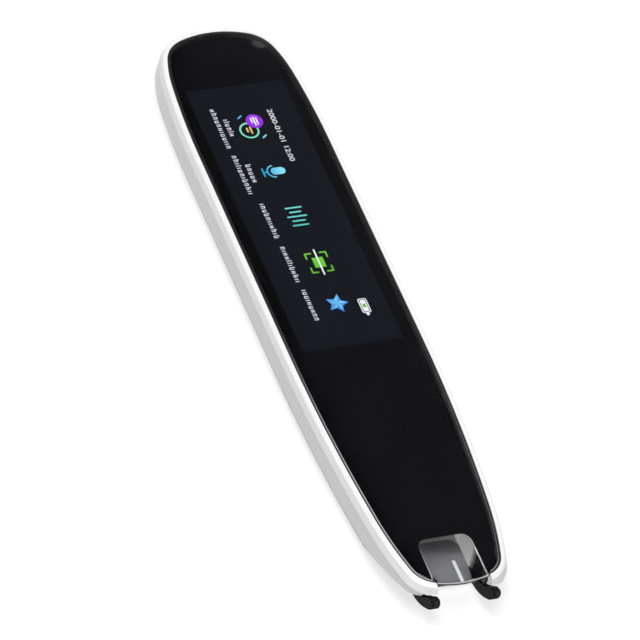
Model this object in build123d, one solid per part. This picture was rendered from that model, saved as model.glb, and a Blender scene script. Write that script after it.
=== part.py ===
"""Scanning pen: a slim hand-held reader with a long glass display and a clear nose.

The pen lies on its back with the display facing up. X runs across the pen, +Y points to the tail,
-Y to the nose, +Z up through the glass. The origin is under the middle of the pen, on the surface
that it lies on. All lengths are in millimetres and all angles in degrees.
"""
from build123d import *
import math
import os

# Driving sizes. Along the pen: toes, nose, display, tail margin and the shell's flare.
body_thickness = 10.0           # back of the shell to the top of the glass
opening_half_width = 15.05      # half the opening that holds the glass
toe_reach = 3.0                 # front of the rollers, ahead of the opening's tip
nose_length = 63.0              # the opening's tip to the lit area
display_width = 22.8            # lit area
display_length = 72.4
tail_margin = 14.8              # lit area to the opening's tail end

# Outline of the opening: arcs that follow each other from the straight side to the centre line
tail_radii = (190.0, 33.0, 7.6)
tail_turns = (6.0, 13.0, 51.0)
nose_radii = (400.0, 77.0, 5.9)
nose_turns = (6.3, 9.7, 56.8)

# Rear shell
shell_flare = 1.5               # widest point of the shell, outside the opening
lip_width = 1.05                # flat lip round the opening
prong_reach = 0.55              # extra length of the shell at the nose, at its widest
lip_prong_reach = 0.15          # the same at the lip
crease_depth = 1.85              # crease below the lip
shell_wall = 1.2
back_radius = 4.5
lip_round = 0.3
ledge_width = 1.0
ledge_height = 0.8
ledge_depth = 4.0               # top of the ledge, below the lip
nose_ledge_front = 7.0          # nose ledge, behind the tip
nose_ledge_back = 12.5
bow_length = 19.6               # the nose's underside rises over this length
bow_shares = ((1.0, 0.0), (0.95, 0.14), (0.84, 0.31), (0.66, 0.425), (0.485, 0.50), (0.306, 0.57),
              (0.153, 0.64), (0.061, 0.675), (0.031, 0.71), (0.0, 0.76), (-0.031, 0.82),
              (-0.061, 0.89), (-0.107, 1.04))
prong_gap = 12.0                # between the two prongs
prong_notch_radius = 0.5
prong_notch_turn = 32.0
prong_notch_x = 8.4
prong_notch_lead = 0.0          # ahead of the tip
prong_notch_depth = 2.35        # below the lip
boss_radius = 1.5
boss_x = 13.0
boss_shares = (0.30, 0.86)      # places of the frame's screws along the display, from its nose end

# General clearances
cut_over = 2.0
seat_gap = 0.1
slide_gap = 0.2
shaft_gap = 0.05
skin = 0.02

# Glass, print and frame
glass_thickness = 0.9
glass_edge_round = 0.45
frame_lip = 0.3                 # thin wall of the glass frame beside the glass
frame_ledge = 1.55              # the frame reaches this far in from the opening
frame_ledge_thickness = 0.8
frame_drop = 0.06               # frame's top edge, below the lip
frame_web_back = 9.4            # the ledge is wider beside the window, up to here behind the tip
skirt_thickness = 0.5           # short walls beside the window, under the frame
skirt_front = 1.5               # behind the tip
skirt_back = 4.0
skirt_front_drop = 4.0          # below the lip
skirt_back_drop = 5.1
film_thickness = 0.1
film_inset = 0.5
window_half_width = 5.9
window_flare = 0.25             # the window is this much wider at the tip, each side
window_length = 12.25
window_radius = 2.2
pointer_width = 0.7
pointer_length = 5.6
pointer_thickness = 0.06
pointer_corner = 0.28

# Display
display_corner = 0.5
panel_thickness = 0.9
panel_margin = 1.1
panel_driver_margin = 4.4       # edge that holds the driver, towards the nose
panel_driver_step = 0.4
backlight_thickness = 1.3
backlight_margin = 0.25
backlight_rim = 0.8
backlight_rim_depth = 0.2
flex_thickness = 0.15
lcd_flex_width = 12.0
lcd_flex_reach = 2.6
lcd_flex_fold = 1.5

# Mid frame
mid_frame_plate = 0.8
mid_frame_rail = 0.9            # width of the rail that carries the glass frame
mid_frame_front = 26.0          # plate's front edge, behind the tip
mid_frame_arm_front = 12.5      # front of the two nose arms, behind the tip
mid_frame_arm = 1.4
mid_frame_tail_gap = 3.2
frame_slot_width = 14.0
frame_slot_length = 4.4
screw_radius = 0.7
screw_head_radius = 1.2
screw_head_height = 0.55
screw_length = 3.2
screw_slot = 0.3

# Main board
board_thickness = 0.8
board_gap = 0.3                 # under the mid frame
board_half_width = 11.0
board_front = 30.0              # front edge, behind the tip
board_corner = 1.5
board_screw_x = 8.6
board_screw_insets = (5.6, 3.9)  # from the board's front and back edges
standoff_radius = 1.6
shield_size = (12.4, 14.0, 1.5)
shield_wall = 0.2
shield_corner = 0.6
shield_x_share = -0.30          # of half the board
radio_size = (6.4, 8.0, 1.3)
radio_chamfer = 0.26
radio_x_share = 0.62
memory_size = (8.0, 8.0, 0.9)
memory_pitch = 10.0
battery_connector_size = (4.0, 2.6, 1.0)
battery_connector_inset = 1.2
component_gap = 1.9             # between the rows of components, along the board

# Battery
battery_width = 22.0
battery_height = 4.1
battery_round = 1.0
battery_gap = 1.4               # from the main board
battery_end_gap = 3.2           # from the tail's board; its length fills the room between
lead_diameter = 0.8
lead_pitch = 1.6

# Tail: socket, its board, microphone, lanyard slot
port_width = 8.94
port_height = 3.26
port_depth = 7.35
port_wall = 0.3
port_back_wall = 0.9
port_gap = 0.18
port_z = 3.75
tongue_width = 6.7
tongue_thickness = 0.7
tongue_length = 4.4
port_board_size = (16.0, 11.0, 0.75)
port_board_corner = 2.0
port_flex_width = 5.0
port_flex_overlap = 2.2
port_board_inset = 3.6          # from the opening's tail end
microphone_size = (1.85, 2.65, 1.0)
microphone_inset = 1.1          # its middle, from the small board's side
microphone_hole_radius = 0.5
lanyard_slot_width = 4.0
lanyard_slot_height = 1.5
lanyard_z = 7.05
lanyard_pin_radius = 0.5
lanyard_pin_length = 7.0
lanyard_pin_in = 1.1            # centre of the pin, inside the opening's end
lanyard_boss_width = 1.3
lanyard_boss_depth = 1.9
lanyard_groove_width = 1.3
lanyard_groove_depth = 0.3

# Loudspeaker, under the main board
speaker_size = (16.0, 13.0, 3.2)
speaker_corner = 3.0
speaker_from_front = 16.0       # centre, behind the board's front edge
speaker_rim = 1.2
speaker_dish = 0.6
mesh_thickness = 0.12
speaker_slot_width = 0.9
speaker_slot_length = 4.4
speaker_slot_pitch = 1.6
speaker_slots = 6

# Power button, on the right side
power_from_boss = 12.1          # ahead of the rear bosses
power_z = 4.8
power_length = 11.0
power_height = 2.2
power_proud = 0.4
power_gap = 0.12
power_travel = 0.3
power_flange = 0.8
power_flange_length = 13.0
power_flange_height = 2.2
power_flange_x = 14.6           # outer face of the flange
power_switch_size = (1.9, 3.6, 1.8)
power_plunger_radius = 0.5
power_plunger_length = 0.6
power_plunger_inside = 0.7
power_pad_length = 5.0
power_flex_height = 1.5

# Nose shoe: a sliding tray whose two sides end in the toes
shoe_travel = 0.5
shoe_half_width = 9.4
shoe_lift = 0.2                 # above the surface that the pen lies on
shoe_plate = 0.8
shoe_plate_front = 7.0          # behind the tip
shoe_plate_back = 18.4
shoe_corner = 1.6
toe_inner = 5.9                 # inner face of each toe
toe_width = 1.8
toe_back = 8.5                  # toes are this long behind the tip
toe_relief = 1.0                # the toe's inner side is cut back by this, behind the next size
toe_relief_front = 6.6
toe_root_front = 7.3            # the bars that join the toes to the tray sides, behind the tip
toe_root_low = 2.4
tray_side_front = 12.0          # the tray sides reach the plate from here on
tray_side = 1.2                 # side wall of the tray, behind the toes
tray_side_height = 5.4
toe_round = 0.3                 # along the outer edge of a toe's front and underside
# Side outline of a toe: how far ahead of the tip and how far below the lip, as shares of the
# toe's reach and of the body's thickness
toe_top_shares = ((-2.833, 0.21), (-1.4, 0.21), (-1.4, 0.57), (-0.4, 0.46), (-0.067, 0.35),
                  (0.133, 0.28), (0.333, 0.22), (0.5, 0.20))
toe_front_shares = ((0.88, 0.215), (0.94, 0.285), (0.915, 0.35))
toe_under_shares = ((0.79, 0.435), (0.5, 0.528), (-0.167, 0.675), (-1.033, 0.795), (-2.0, 0.87),
                    (-2.6, 0.98))
arm_front = 17.2
arm_height = 1.4
arm_lift = 0.5                  # above the floor of the shell
bridge_front = 27.6
bridge_depth = 2.0
spring_x = 5.6
spring_length = 6.0
spring_radius = 1.0             # to the middle of the wire
spring_wire = 0.3
spring_turns = 5
spring_steps = 10               # sections in a turn
spring_sides = 6
spring_peg_radius = 0.6
spring_peg_length = 1.2
rib_size = (3.4, 1.2, 3.4)
roller_radius = 0.75
roller_width = 0.8
roller_slot_gap = 0.1
roller_depth_share = 0.27       # height of the rollers' axis below the lip, of the thickness
pin_radius = 0.3
pin_length = 1.5
tread_grooves = 12
tread_groove_radius = 0.09

# Scan switch, under the main board
scan_switch_size = (3.8, 2.8, 3.3)
scan_plunger_radius = 0.5
scan_plunger_inside = 0.8
scan_bore_depth = 1.7
scan_switch_inset = 0.6          # behind the main board's front edge

# Scan chamber
chamber_back = 17.9             # front face of its rear wall, behind the tip
chamber_wall = 0.8
chamber_half_width = 7.2        # inside
chamber_front = 9.7
chamber_floor_lift = 0.2        # above the shoe's plate
chamber_floor_thickness = 0.5
chamber_floor_half_width = 6.7
chamber_floor_front = 7.3
chamber_floor_corner = 2.0
chamber_aperture = 2.95
chamber_corner_slot = 0.9
chamber_ear_height = 1.6
guide_thickness = 0.55
guide_clear = 0.15
lamp_size = (1.0, 1.6, 1.2)
lamp_z_share = 0.66

# Camera
camera_z = 5.8
barrel_radius = 2.7
barrel_length = 4.4
barrel_front = 18.2             # behind the tip
barrel_ridges = 3
barrel_ridge_depth = 0.12
barrel_ridge_pitch = 0.48
lens_clear_share = 0.7          # clear bore behind the lens, of its radius
lens_radius = 1.9
lens_recess = 0.5
lens_thickness = 0.9
lens_bulge = 0.35
holder_size = (7.2, 4.0, 5.6)
holder_front = 20.4
led_board_thickness = 0.4
led_board_height = 6.2
camera_board_size = (10.0, 0.8, 5.6)
sensor_size = (3.4, 0.6, 3.4)
camera_flex_width = 6.0
camera_flex_overlap = 3.0

# Places worked out from the sizes above
overall_length = toe_reach + nose_length + display_length + tail_margin + shell_flare
tail_y = overall_length / 2 - shell_flare
tip_y = -overall_length / 2 + toe_reach
lip_z = body_thickness
crease_z = lip_z - crease_depth
ledge_z = lip_z - ledge_depth
glass_z = lip_z - glass_thickness
film_z = glass_z - film_thickness
panel_z = film_z - panel_thickness
backlight_z = panel_z - backlight_thickness
display_y = tip_y + nose_length + display_length / 2
panel_back_y = display_y + display_length / 2 + panel_margin
panel_front_y = display_y - display_length / 2 - panel_driver_margin
frame_bottom_z = film_z - frame_ledge_thickness
board_top_z = ledge_z - board_gap
board_z = board_top_z - board_thickness
board_front_y = tip_y + board_front
speaker_y = board_front_y + speaker_from_front
component_row_y = speaker_y + speaker_size[1] / 2 + component_gap
shield_y = component_row_y + shield_size[1] / 2
memory_y = component_row_y + shield_size[1] + component_gap + memory_size[1] / 2
connector_y = memory_y + memory_size[1] / 2 + component_gap + battery_connector_size[1] / 2
board_back_y = connector_y + battery_connector_size[1] / 2 + battery_connector_inset
board_length = board_back_y - board_front_y
battery_front_y = board_back_y + battery_gap
port_board_back_y = tail_y - port_board_inset
port_board_front_y = port_board_back_y - port_board_size[1]
battery_back_y = port_board_front_y - battery_end_gap
boss_rear_y = panel_front_y + boss_shares[1] * (panel_back_y - panel_front_y)
power_y = boss_rear_y - power_from_boss
microphone_x = port_board_size[0] / 2 - microphone_inset
roller_x = toe_inner + toe_width / 2
roller_y = tip_y - toe_reach + roller_radius
roller_z = lip_z - roller_depth_share * body_thickness
bridge_y = tip_y + bridge_front
bridge_back_y = bridge_y + bridge_depth
arm_z = shell_wall + arm_lift
chamber_back_y = tip_y + chamber_back
chamber_floor_z = shoe_lift + shoe_plate + chamber_floor_lift
chamber_top_z = film_z - seat_gap
spring_z = arm_z + arm_height / 2


def end_arcs(radii, turns, grow):
    """Half of one rounded end: arcs from the straight side to the centre line.

    Returns each arc's start and middle, and the end's reach. The last arc is centred on the
    centre line, so its radius follows from the width that the others leave.
    """
    left = opening_half_width
    angle = 0.0
    for radius, turn in zip(radii, turns):
        left -= radius * (math.cos(math.radians(angle)) - math.cos(math.radians(angle + turn)))
        angle += turn
    last_turn = 90.0 - angle
    closing = left / math.sin(math.radians(last_turn))
    x, y, angle = opening_half_width, 0.0, 0.0
    arcs = []
    for radius, turn in zip((*radii, closing), (*turns, last_turn)):
        start = math.radians(angle)
        middle_x = x - radius * math.cos(start)
        middle_y = y - radius * math.sin(start)
        points = []
        for part_turn in (0.0, turn / 2, turn):
            here = math.radians(angle + part_turn)
            reach = radius + grow
            points.append((middle_x + reach * math.cos(here), middle_y + reach * math.sin(here)))
        arcs.append(points)
        x = middle_x + radius * math.cos(math.radians(angle + turn))
        y = middle_y + radius * math.sin(math.radians(angle + turn))
        angle += turn
    return arcs, y


def outline(height, grow=0.0, nose_extra=0.0):
    """The pen's plan at one height, grown outwards, and lengthened at the nose."""
    tail, tail_reach = end_arcs(tail_radii, tail_turns, grow)
    nose, nose_reach = end_arcs(nose_radii, nose_turns, grow)
    tail_start = tail_y - tail_reach
    nose_start = tip_y + nose_reach - nose_extra
    edges = []
    for arcs, start_y, way in ((tail, tail_start, 1), (nose, nose_start, -1)):
        for points in arcs[:-1]:
            for side in (1, -1):
                ends = [(side * x, start_y + way * y) for x, y in points]
                edges.append(ThreePointArc(*ends))
        first, _, last = arcs[-1]
        edges.append(ThreePointArc((first[0], start_y + way * first[1]),
                                   (last[0], start_y + way * last[1]),
                                   (-first[0], start_y + way * first[1])))
    side_x = opening_half_width + grow
    for side in (1, -1):
        edges.append(Line((side * side_x, tail_start), (side * side_x, nose_start)))
    return Pos(0, 0, height) * make_face(edges)


def slab(low, high, grow=0.0, nose_extra=0.0):
    """The pen's plan carried up from one height to another."""
    return extrude(outline(low, grow, nose_extra), high - low)


def block(x_range, y_range, z_range):
    """A box from its six faces."""
    size = [high - low for low, high in (x_range, y_range, z_range)]
    middle = [(high + low) / 2 for low, high in (x_range, y_range, z_range)]
    return Pos(*middle) * Box(*size)


def rod(radius, start, end):
    """A round rod between two points that lie on a line along X, Y or Z."""
    axis = Vector(*end) - Vector(*start)
    plane = Plane(origin=Vector(*start), z_dir=axis.normalized())
    return extrude(plane * Circle(radius), axis.length)


def side_profile(points, x_low, x_high):
    """A closed outline in the side view, given as (y, z), carried across the pen."""
    face = Plane.YZ * make_face(Polyline(*points, close=True))
    return Pos(x_low, 0, 0) * extrude(face, x_high - x_low)


def both(piece):
    """The piece and its mirror image on the other side of the pen."""
    return [piece, mirror(piece, Plane.YZ)]


def bow_cut():
    """What the rising underside of the nose takes away."""
    points = [(tip_y + along * bow_length, up * body_thickness) for along, up in bow_shares]
    curve = Spline(*points)
    ahead = points[-1][0] - cut_over
    below = -cut_over
    ends = Polyline(points[-1], (ahead, points[-1][1]), (ahead, below), (points[0][0], below), points[0])
    face = Plane.YZ * make_face([curve, ends])
    width = opening_half_width + shell_flare + cut_over
    return Pos(-width, 0, 0) * extrude(face, 2 * width)


def boss_places():
    """Where the mid frame is screwed to the shell."""
    length = panel_back_y - panel_front_y
    return [(side * boss_x, panel_front_y + share * length) for share in boss_shares for side in (1, -1)]


def power_stadium(length, height, x_low, x_high):
    """A long round-ended block that runs through the right side wall."""
    plane = Plane(origin=(x_low, power_y, power_z), x_dir=(0, 1, 0), z_dir=(1, 0, 0))
    return extrude(plane * SlotOverall(length, height), x_high - x_low)


def port_stadium(width, height, y_low, y_high):
    """A long round-ended block that runs along the pen at the socket."""
    plane = Plane(origin=(0, y_high, port_z), x_dir=(1, 0, 0), z_dir=(0, -1, 0))
    return extrude(plane * SlotOverall(width, height), y_high - y_low)


def make_rear_shell():
    """White tub: its sides flare to a crease, then round into the flat back."""
    lower = slab(0, crease_z, shell_flare, prong_reach)
    lower = fillet(lower.faces().sort_by(Axis.Z)[0].edges(), back_radius)
    upper = loft([outline(crease_z, shell_flare, prong_reach),
                  outline(lip_z - lip_round, lip_width, lip_prong_reach),
                  outline(lip_z, lip_width - lip_round, lip_prong_reach - lip_round)], ruled=True)
    pocket = slab(shell_wall, lip_z + cut_over)
    pocket = fillet(pocket.faces().sort_by(Axis.Z)[0].edges(), back_radius - shell_wall)
    outer = lower + upper
    shell = outer - pocket

    ledge_plan = slab(ledge_z - ledge_height, ledge_z, seat_gap) - slab(
        ledge_z - ledge_height, ledge_z, -ledge_width)
    everything = opening_half_width + shell_flare + cut_over
    behind = block((-everything, everything), (tip_y + mid_frame_front, tail_y + everything),
                   (0, lip_z))
    shell += ledge_plan & behind
    nose_plan = slab(frame_bottom_z - ledge_height, frame_bottom_z, seat_gap) - slab(
        frame_bottom_z - ledge_height, frame_bottom_z, -ledge_width + slide_gap)
    shell += nose_plan & block((-everything, everything),
                               (tip_y + nose_ledge_front, tip_y + nose_ledge_back), (0, lip_z))

    for x, y in boss_places():
        shell += rod(boss_radius, (x, y, shell_wall / 2), (x, y, ledge_z)) & outer
        shell -= rod(screw_radius, (x, y, ledge_z - screw_length), (x, y, ledge_z))

    rib_width, rib_depth, rib_height = rib_size
    spring_end = bridge_back_y + spring_length
    for side in (1, -1):
        shell += block((side * spring_x - rib_width / 2, side * spring_x + rib_width / 2),
                       (spring_end, spring_end + rib_depth),
                       (shell_wall / 2, shell_wall + rib_height))

    shell -= bow_cut()
    shell -= block((-prong_gap / 2, prong_gap / 2), (tip_y - toe_reach, tip_y + cut_over),
                   (-cut_over, lip_z + cut_over))
    shoe_room = shoe_half_width + slide_gap
    shell -= block((-shoe_room, shoe_room),
                   (tip_y - toe_reach, tip_y + shoe_plate_back + shoe_travel + slide_gap),
                   (-cut_over, arm_z))
    for side in (1, -1):
        notch = Rot(90, 0, side * prong_notch_turn) * Cylinder(prong_notch_radius, 2 * cut_over)
        shell -= Pos(side * prong_notch_x, tip_y - prong_notch_lead, lip_z - prong_notch_depth) * notch

    pad_low = power_flange_x - power_flange - power_plunger_length - power_switch_size[0]
    pad_high = pad_low + power_switch_size[0] + power_plunger_length / 2
    shell += block((pad_low, pad_high),
                   (power_y - power_pad_length / 2, power_y + power_pad_length / 2),
                   (shell_wall / 2, power_z - power_switch_size[2] / 2))
    flange_room = power_flange_length + 2 * slide_gap
    shell -= block((power_flange_x - power_flange - power_travel - slide_gap,
                    opening_half_width + skin),
                   (power_y - flange_room / 2, power_y + flange_room / 2),
                   (power_z - power_flange_height / 2 - slide_gap, ledge_z + skin))
    shell -= power_stadium(power_length + 2 * power_gap, power_height + 2 * power_gap,
                           power_flange_x, opening_half_width + shell_flare + cut_over)

    shell -= port_stadium(port_width + 2 * port_gap, port_height + 2 * port_gap,
                          tail_y - port_depth, overall_length / 2 + cut_over)
    for side in (1, -1):
        boss_mid = side * (lanyard_slot_width + lanyard_boss_width) / 2
        shell += block((boss_mid - lanyard_boss_width / 2, boss_mid + lanyard_boss_width / 2),
                       (tail_y - lanyard_boss_depth, tail_y + skin),
                       (lanyard_z - lanyard_slot_height / 2, lanyard_z + lanyard_slot_height / 2))
    shell -= block((-lanyard_slot_width / 2, lanyard_slot_width / 2),
                   (tail_y - lanyard_boss_depth, overall_length / 2 + cut_over),
                   (lanyard_z - lanyard_slot_height / 2, lanyard_z + lanyard_slot_height / 2))
    pin_y = tail_y - lanyard_pin_in
    shell -= rod(lanyard_pin_radius + shaft_gap, (-lanyard_pin_length / 2, pin_y, lanyard_z),
                 (lanyard_pin_length / 2, pin_y, lanyard_z))
    groove_y = overall_length / 2 - (shell_flare - lip_width)
    shell -= rod(lanyard_groove_width / 2,
                 (0, groove_y - lanyard_groove_depth + lanyard_groove_width / 2, lanyard_z),
                 (0, groove_y - lanyard_groove_depth + lanyard_groove_width / 2, lip_z + cut_over))
    shell -= rod(microphone_hole_radius, (microphone_x, tail_y - port_board_inset, port_z),
                 (microphone_x, overall_length / 2 + cut_over, port_z))

    for number in range(speaker_slots):
        x = (number - (speaker_slots - 1) / 2) * speaker_slot_pitch
        slot = Pos(x, speaker_y, -cut_over) * SlotOverall(speaker_slot_length, speaker_slot_width,
                                                            rotation=90)
        shell -= extrude(slot, shell_wall + 2 * cut_over)
    return shell


def make_glass_frame():
    """U-shaped frame: a thin wall beside the glass and a ledge under its edge."""
    frame = slab(frame_bottom_z, lip_z - frame_drop, -seat_gap)
    frame -= slab(frame_bottom_z - cut_over, lip_z + cut_over, -frame_ledge)
    frame -= slab(film_z, lip_z + cut_over, -seat_gap - frame_lip)
    half = opening_half_width
    frame += slab(frame_bottom_z, film_z, -seat_gap) & block(
        (-half, half), (tip_y, tip_y + frame_web_back), (frame_bottom_z, film_z))
    frame -= block((-prong_gap / 2, prong_gap / 2), (tip_y - cut_over, tip_y + window_length),
                   (frame_bottom_z - cut_over, lip_z + cut_over))
    skirt = side_profile([(tip_y + skirt_front, frame_bottom_z + skin),
                          (tip_y + skirt_back, frame_bottom_z + skin),
                          (tip_y + skirt_back, lip_z - skirt_back_drop),
                          (tip_y + skirt_front, lip_z - skirt_front_drop)],
                         prong_gap / 2, prong_gap / 2 + skirt_thickness)
    for piece in both(skirt):
        frame += piece
    return frame


def glass_plan_inset():
    """How far the glass lies inside the opening."""
    return 2 * seat_gap + frame_lip


def nose_tongue(low, high):
    """The part of the glass that fills the gap between the prongs, out to the tip."""
    half = prong_gap / 2 - seat_gap
    return slab(low, high) & block((-half, half), (tip_y - cut_over, tip_y + window_length), (low, high))


def rounded_glass(outside):
    """Glass plate that lies so far outside the opening, with a rounded upper edge."""
    plate = slab(glass_z, lip_z, outside)
    return fillet(plate.faces().sort_by(Axis.Z)[-1].edges(), glass_edge_round)


def make_cover_glass():
    """Flat glass with a rounded upper edge, also where its tongue reaches the tip between the prongs."""
    return rounded_glass(-glass_plan_inset()) + (rounded_glass(0) & nose_tongue(glass_z, lip_z))


def window_cut(low, high):
    """The clear window at the nose: straight sides and two rounded corners, open at the tip."""
    back = tip_y + window_length
    front = tip_y - cut_over
    wide = window_half_width + window_flare
    plan = make_face(Polyline((-window_half_width, back), (window_half_width, back), (wide, front),
                              (-wide, front), close=True))
    cut = Pos(0, 0, low) * extrude(plan, high - low)
    corners = cut.edges().filter_by(Axis.Z).sort_by(Axis.Y)[-2:]
    return fillet(corners, window_radius)


def make_mask_film():
    """Black print behind the glass, open over the display and over the nose window."""
    inset = glass_plan_inset() + film_inset
    film = slab(film_z, glass_z, -inset) + nose_tongue(film_z, glass_z)
    display = Pos(0, display_y, film_z) * extrude(RectangleRounded(display_width, display_length,
                                                                   display_corner), film_thickness)
    return film - display - window_cut(film_z - skin, glass_z + skin)


def make_pointer_line():
    """White guide line under the clear window, with a rounded back end."""
    front = tip_y + glass_edge_round
    line = block((-pointer_width / 2, pointer_width / 2), (front, front + pointer_length),
                 (glass_z - pointer_thickness, glass_z))
    corners = line.edges().filter_by(Axis.Z).sort_by(Axis.Y)[-2:]
    return fillet(corners, pointer_corner)


def panel_half_width():
    """Half the width of the display panel with its dark margin."""
    return display_width / 2 + panel_margin


def make_lcd_panel():
    """Display glass with the lower step that carries its driver."""
    panel = block((-panel_half_width(), panel_half_width()), (panel_front_y, panel_back_y),
                  (panel_z, film_z))
    step_y = display_y - display_length / 2 - panel_margin
    step = block((-panel_half_width(), panel_half_width()), (panel_front_y, step_y),
                 (film_z - panel_driver_step, film_z))
    return panel - step


def make_backlight_unit():
    """Shallow tray under the panel with a raised rim."""
    half = panel_half_width() + backlight_margin
    front = panel_front_y - backlight_margin
    back = panel_back_y + backlight_margin
    unit = block((-half, half), (front, back), (backlight_z, panel_z))
    inner = block((-half + backlight_rim, half - backlight_rim),
                  (front + backlight_rim, back - backlight_rim),
                  (panel_z - backlight_rim_depth, panel_z))
    return unit - inner


def make_lcd_flex():
    """Flexible lead that folds round the end of the backlight and down to the main board."""
    start_y = panel_front_y + lcd_flex_reach
    top = film_z - panel_driver_step
    outer_y = panel_front_y - backlight_margin - lcd_flex_fold
    bottom = board_top_z + flex_thickness
    points = [(start_y, top), (start_y, top + flex_thickness), (outer_y, top + flex_thickness),
              (outer_y, board_top_z), (outer_y + lcd_flex_reach, board_top_z),
              (outer_y + lcd_flex_reach, bottom), (outer_y + flex_thickness, bottom),
              (outer_y + flex_thickness, top)]
    return side_profile(points, -lcd_flex_width / 2, lcd_flex_width / 2)


def make_mid_frame():
    """Plate that carries the display above and the main board below, with a rail round it."""
    plate = slab(ledge_z, ledge_z + mid_frame_plate, -seat_gap)
    rail = slab(ledge_z, frame_bottom_z, -seat_gap)
    rail -= slab(ledge_z - cut_over, frame_bottom_z + cut_over, -seat_gap - mid_frame_rail)
    frame = plate + rail
    half = opening_half_width + cut_over
    nose_inner = slab(ledge_z - cut_over, frame_bottom_z + cut_over, -mid_frame_arm)
    ahead = block((-half, half), (tip_y - cut_over, tip_y + mid_frame_front),
                  (ledge_z - cut_over, frame_bottom_z + cut_over))
    frame -= nose_inner & ahead
    frame -= block((-half, half), (tip_y - cut_over, tip_y + mid_frame_arm_front),
                   (ledge_z - cut_over, frame_bottom_z + cut_over))
    frame -= block((-lanyard_pin_length, lanyard_pin_length),
                   (tail_y - mid_frame_tail_gap, tail_y + cut_over),
                   (ledge_z - cut_over, frame_bottom_z + cut_over))
    slot_y = panel_front_y - backlight_margin - lcd_flex_fold
    frame -= block((-frame_slot_width / 2, frame_slot_width / 2),
                   (slot_y - seat_gap, slot_y + frame_slot_length),
                   (ledge_z - cut_over, ledge_z + mid_frame_plate + cut_over))
    for x, y in boss_places():
        frame -= rod(screw_radius + seat_gap, (x, y, ledge_z - cut_over),
                     (x, y, ledge_z + mid_frame_plate + cut_over))
        frame -= Pos(x, y, ledge_z + mid_frame_plate - screw_head_height / 2 + skin) * Cone(
            screw_radius + seat_gap, screw_head_radius + seat_gap, screw_head_height + 2 * skin)
    for x, y in board_screw_places():
        frame += rod(standoff_radius, (x, y, board_top_z), (x, y, ledge_z))
        frame -= rod(screw_radius, (x, y, board_top_z - cut_over),
                     (x, y, ledge_z + mid_frame_plate / 2))
    return frame


def make_frame_screws():
    """Countersunk screws that hold the mid frame to the bosses of the shell."""
    screws = []
    top = ledge_z + mid_frame_plate
    for x, y in boss_places():
        shank = rod(screw_radius - shaft_gap, (x, y, top - screw_length), (x, y, top))
        head = Pos(x, y, top - screw_head_height / 2) * Cone(screw_radius, screw_head_radius,
                                                             screw_head_height)
        slot = block((x - screw_slot, x + screw_slot), (y - screw_slot, y + screw_slot),
                     (top - screw_head_height / 2, top + cut_over))
        screws.append(shank + head - slot)
    return Compound(children=screws)


def board_screw_places():
    """Where the main board is screwed to the mid frame."""
    front, back = board_screw_insets
    return [(board_screw_x, board_front_y + front), (-board_screw_x, board_back_y - back)]


def make_main_board():
    """Circuit board under the mid frame."""
    plan = Pos(0, (board_front_y + board_back_y) / 2, board_z) * extrude(
        RectangleRounded(2 * board_half_width, board_length, board_corner), board_thickness)
    for x, y in board_screw_places():
        plan -= rod(screw_radius + seat_gap, (x, y, board_z - cut_over), (x, y, board_top_z + cut_over))
    return plan


def make_board_screws():
    """Cheese-head screws that hold the board up to the mid frame."""
    screws = []
    for x, y in board_screw_places():
        shank = rod(screw_radius - shaft_gap, (x, y, board_z), (x, y, ledge_z + mid_frame_plate / 4))
        head = rod(screw_head_radius, (x, y, board_z - screw_head_height), (x, y, board_z))
        slot = block((x - screw_head_radius, x + screw_head_radius),
                     (y - screw_slot / 2, y + screw_slot / 2),
                     (board_z - screw_head_height - cut_over, board_z - screw_head_height / 2))
        screws.append(shank + head - slot)
    return Compound(children=screws)


def hang_on_board(size, place):
    """A component that hangs under the main board."""
    x, y = place
    return block((x - size[0] / 2, x + size[0] / 2), (y - size[1] / 2, y + size[1] / 2),
                 (board_z - size[2], board_z))


def make_processor_shield():
    """Pressed metal can over the processor, open towards the board."""
    x, y = shield_x_share * board_half_width, shield_y
    can = hang_on_board(shield_size, (x, y))
    can = fillet(can.edges().filter_by(Axis.Z), shield_corner)
    inner = block((x - shield_size[0] / 2 + shield_wall, x + shield_size[0] / 2 - shield_wall),
                  (y - shield_size[1] / 2 + shield_wall, y + shield_size[1] / 2 - shield_wall),
                  (board_z - shield_size[2] + shield_wall, board_z))
    return can - inner


def make_memory_chips():
    """Two memory packages side by side."""
    chips = [hang_on_board(memory_size, (side * memory_pitch / 2, memory_y)) for side in (-1, 1)]
    return Compound(children=chips)


def make_radio_module():
    """Small radio module with a stepped lid."""
    place = (radio_x_share * board_half_width, component_row_y + radio_size[1] / 2)
    module = hang_on_board(radio_size, place)
    lid = module.faces().sort_by(Axis.Z)[0]
    return chamfer(lid.edges(), radio_chamfer)


def make_battery_connector():
    """Plug for the battery's lead, under the tail edge of the main board."""
    return hang_on_board(battery_connector_size, (0, connector_y))


def make_battery():
    """Soft lithium cell, taped to the floor of the shell."""
    cell = block((-battery_width / 2, battery_width / 2), (battery_front_y, battery_back_y),
                 (shell_wall, shell_wall + battery_height))
    return fillet(cell.edges().filter_by(Axis.Y), battery_round)


def make_battery_lead():
    """Two wires from the cell to its plug."""
    plug_y = connector_y + battery_connector_size[1] / 2
    height = board_z - battery_connector_size[2] / 2
    wires = [rod(lead_diameter / 2, (side * lead_pitch / 2, plug_y, height),
                 (side * lead_pitch / 2, battery_front_y, height)) for side in (1, -1)]
    return Compound(children=wires)


def port_board_top():
    """Upper face of the tail's small board, which carries the socket."""
    return port_z - port_height / 2


def make_port_board():
    """Small board at the tail."""
    width, _, thickness = port_board_size
    top = port_board_top()
    board = block((-width / 2, width / 2), (port_board_front_y, port_board_back_y), (top - thickness, top))
    return fillet(board.edges().filter_by(Axis.Z).sort_by(Axis.Y)[-2:], port_board_corner)


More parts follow.
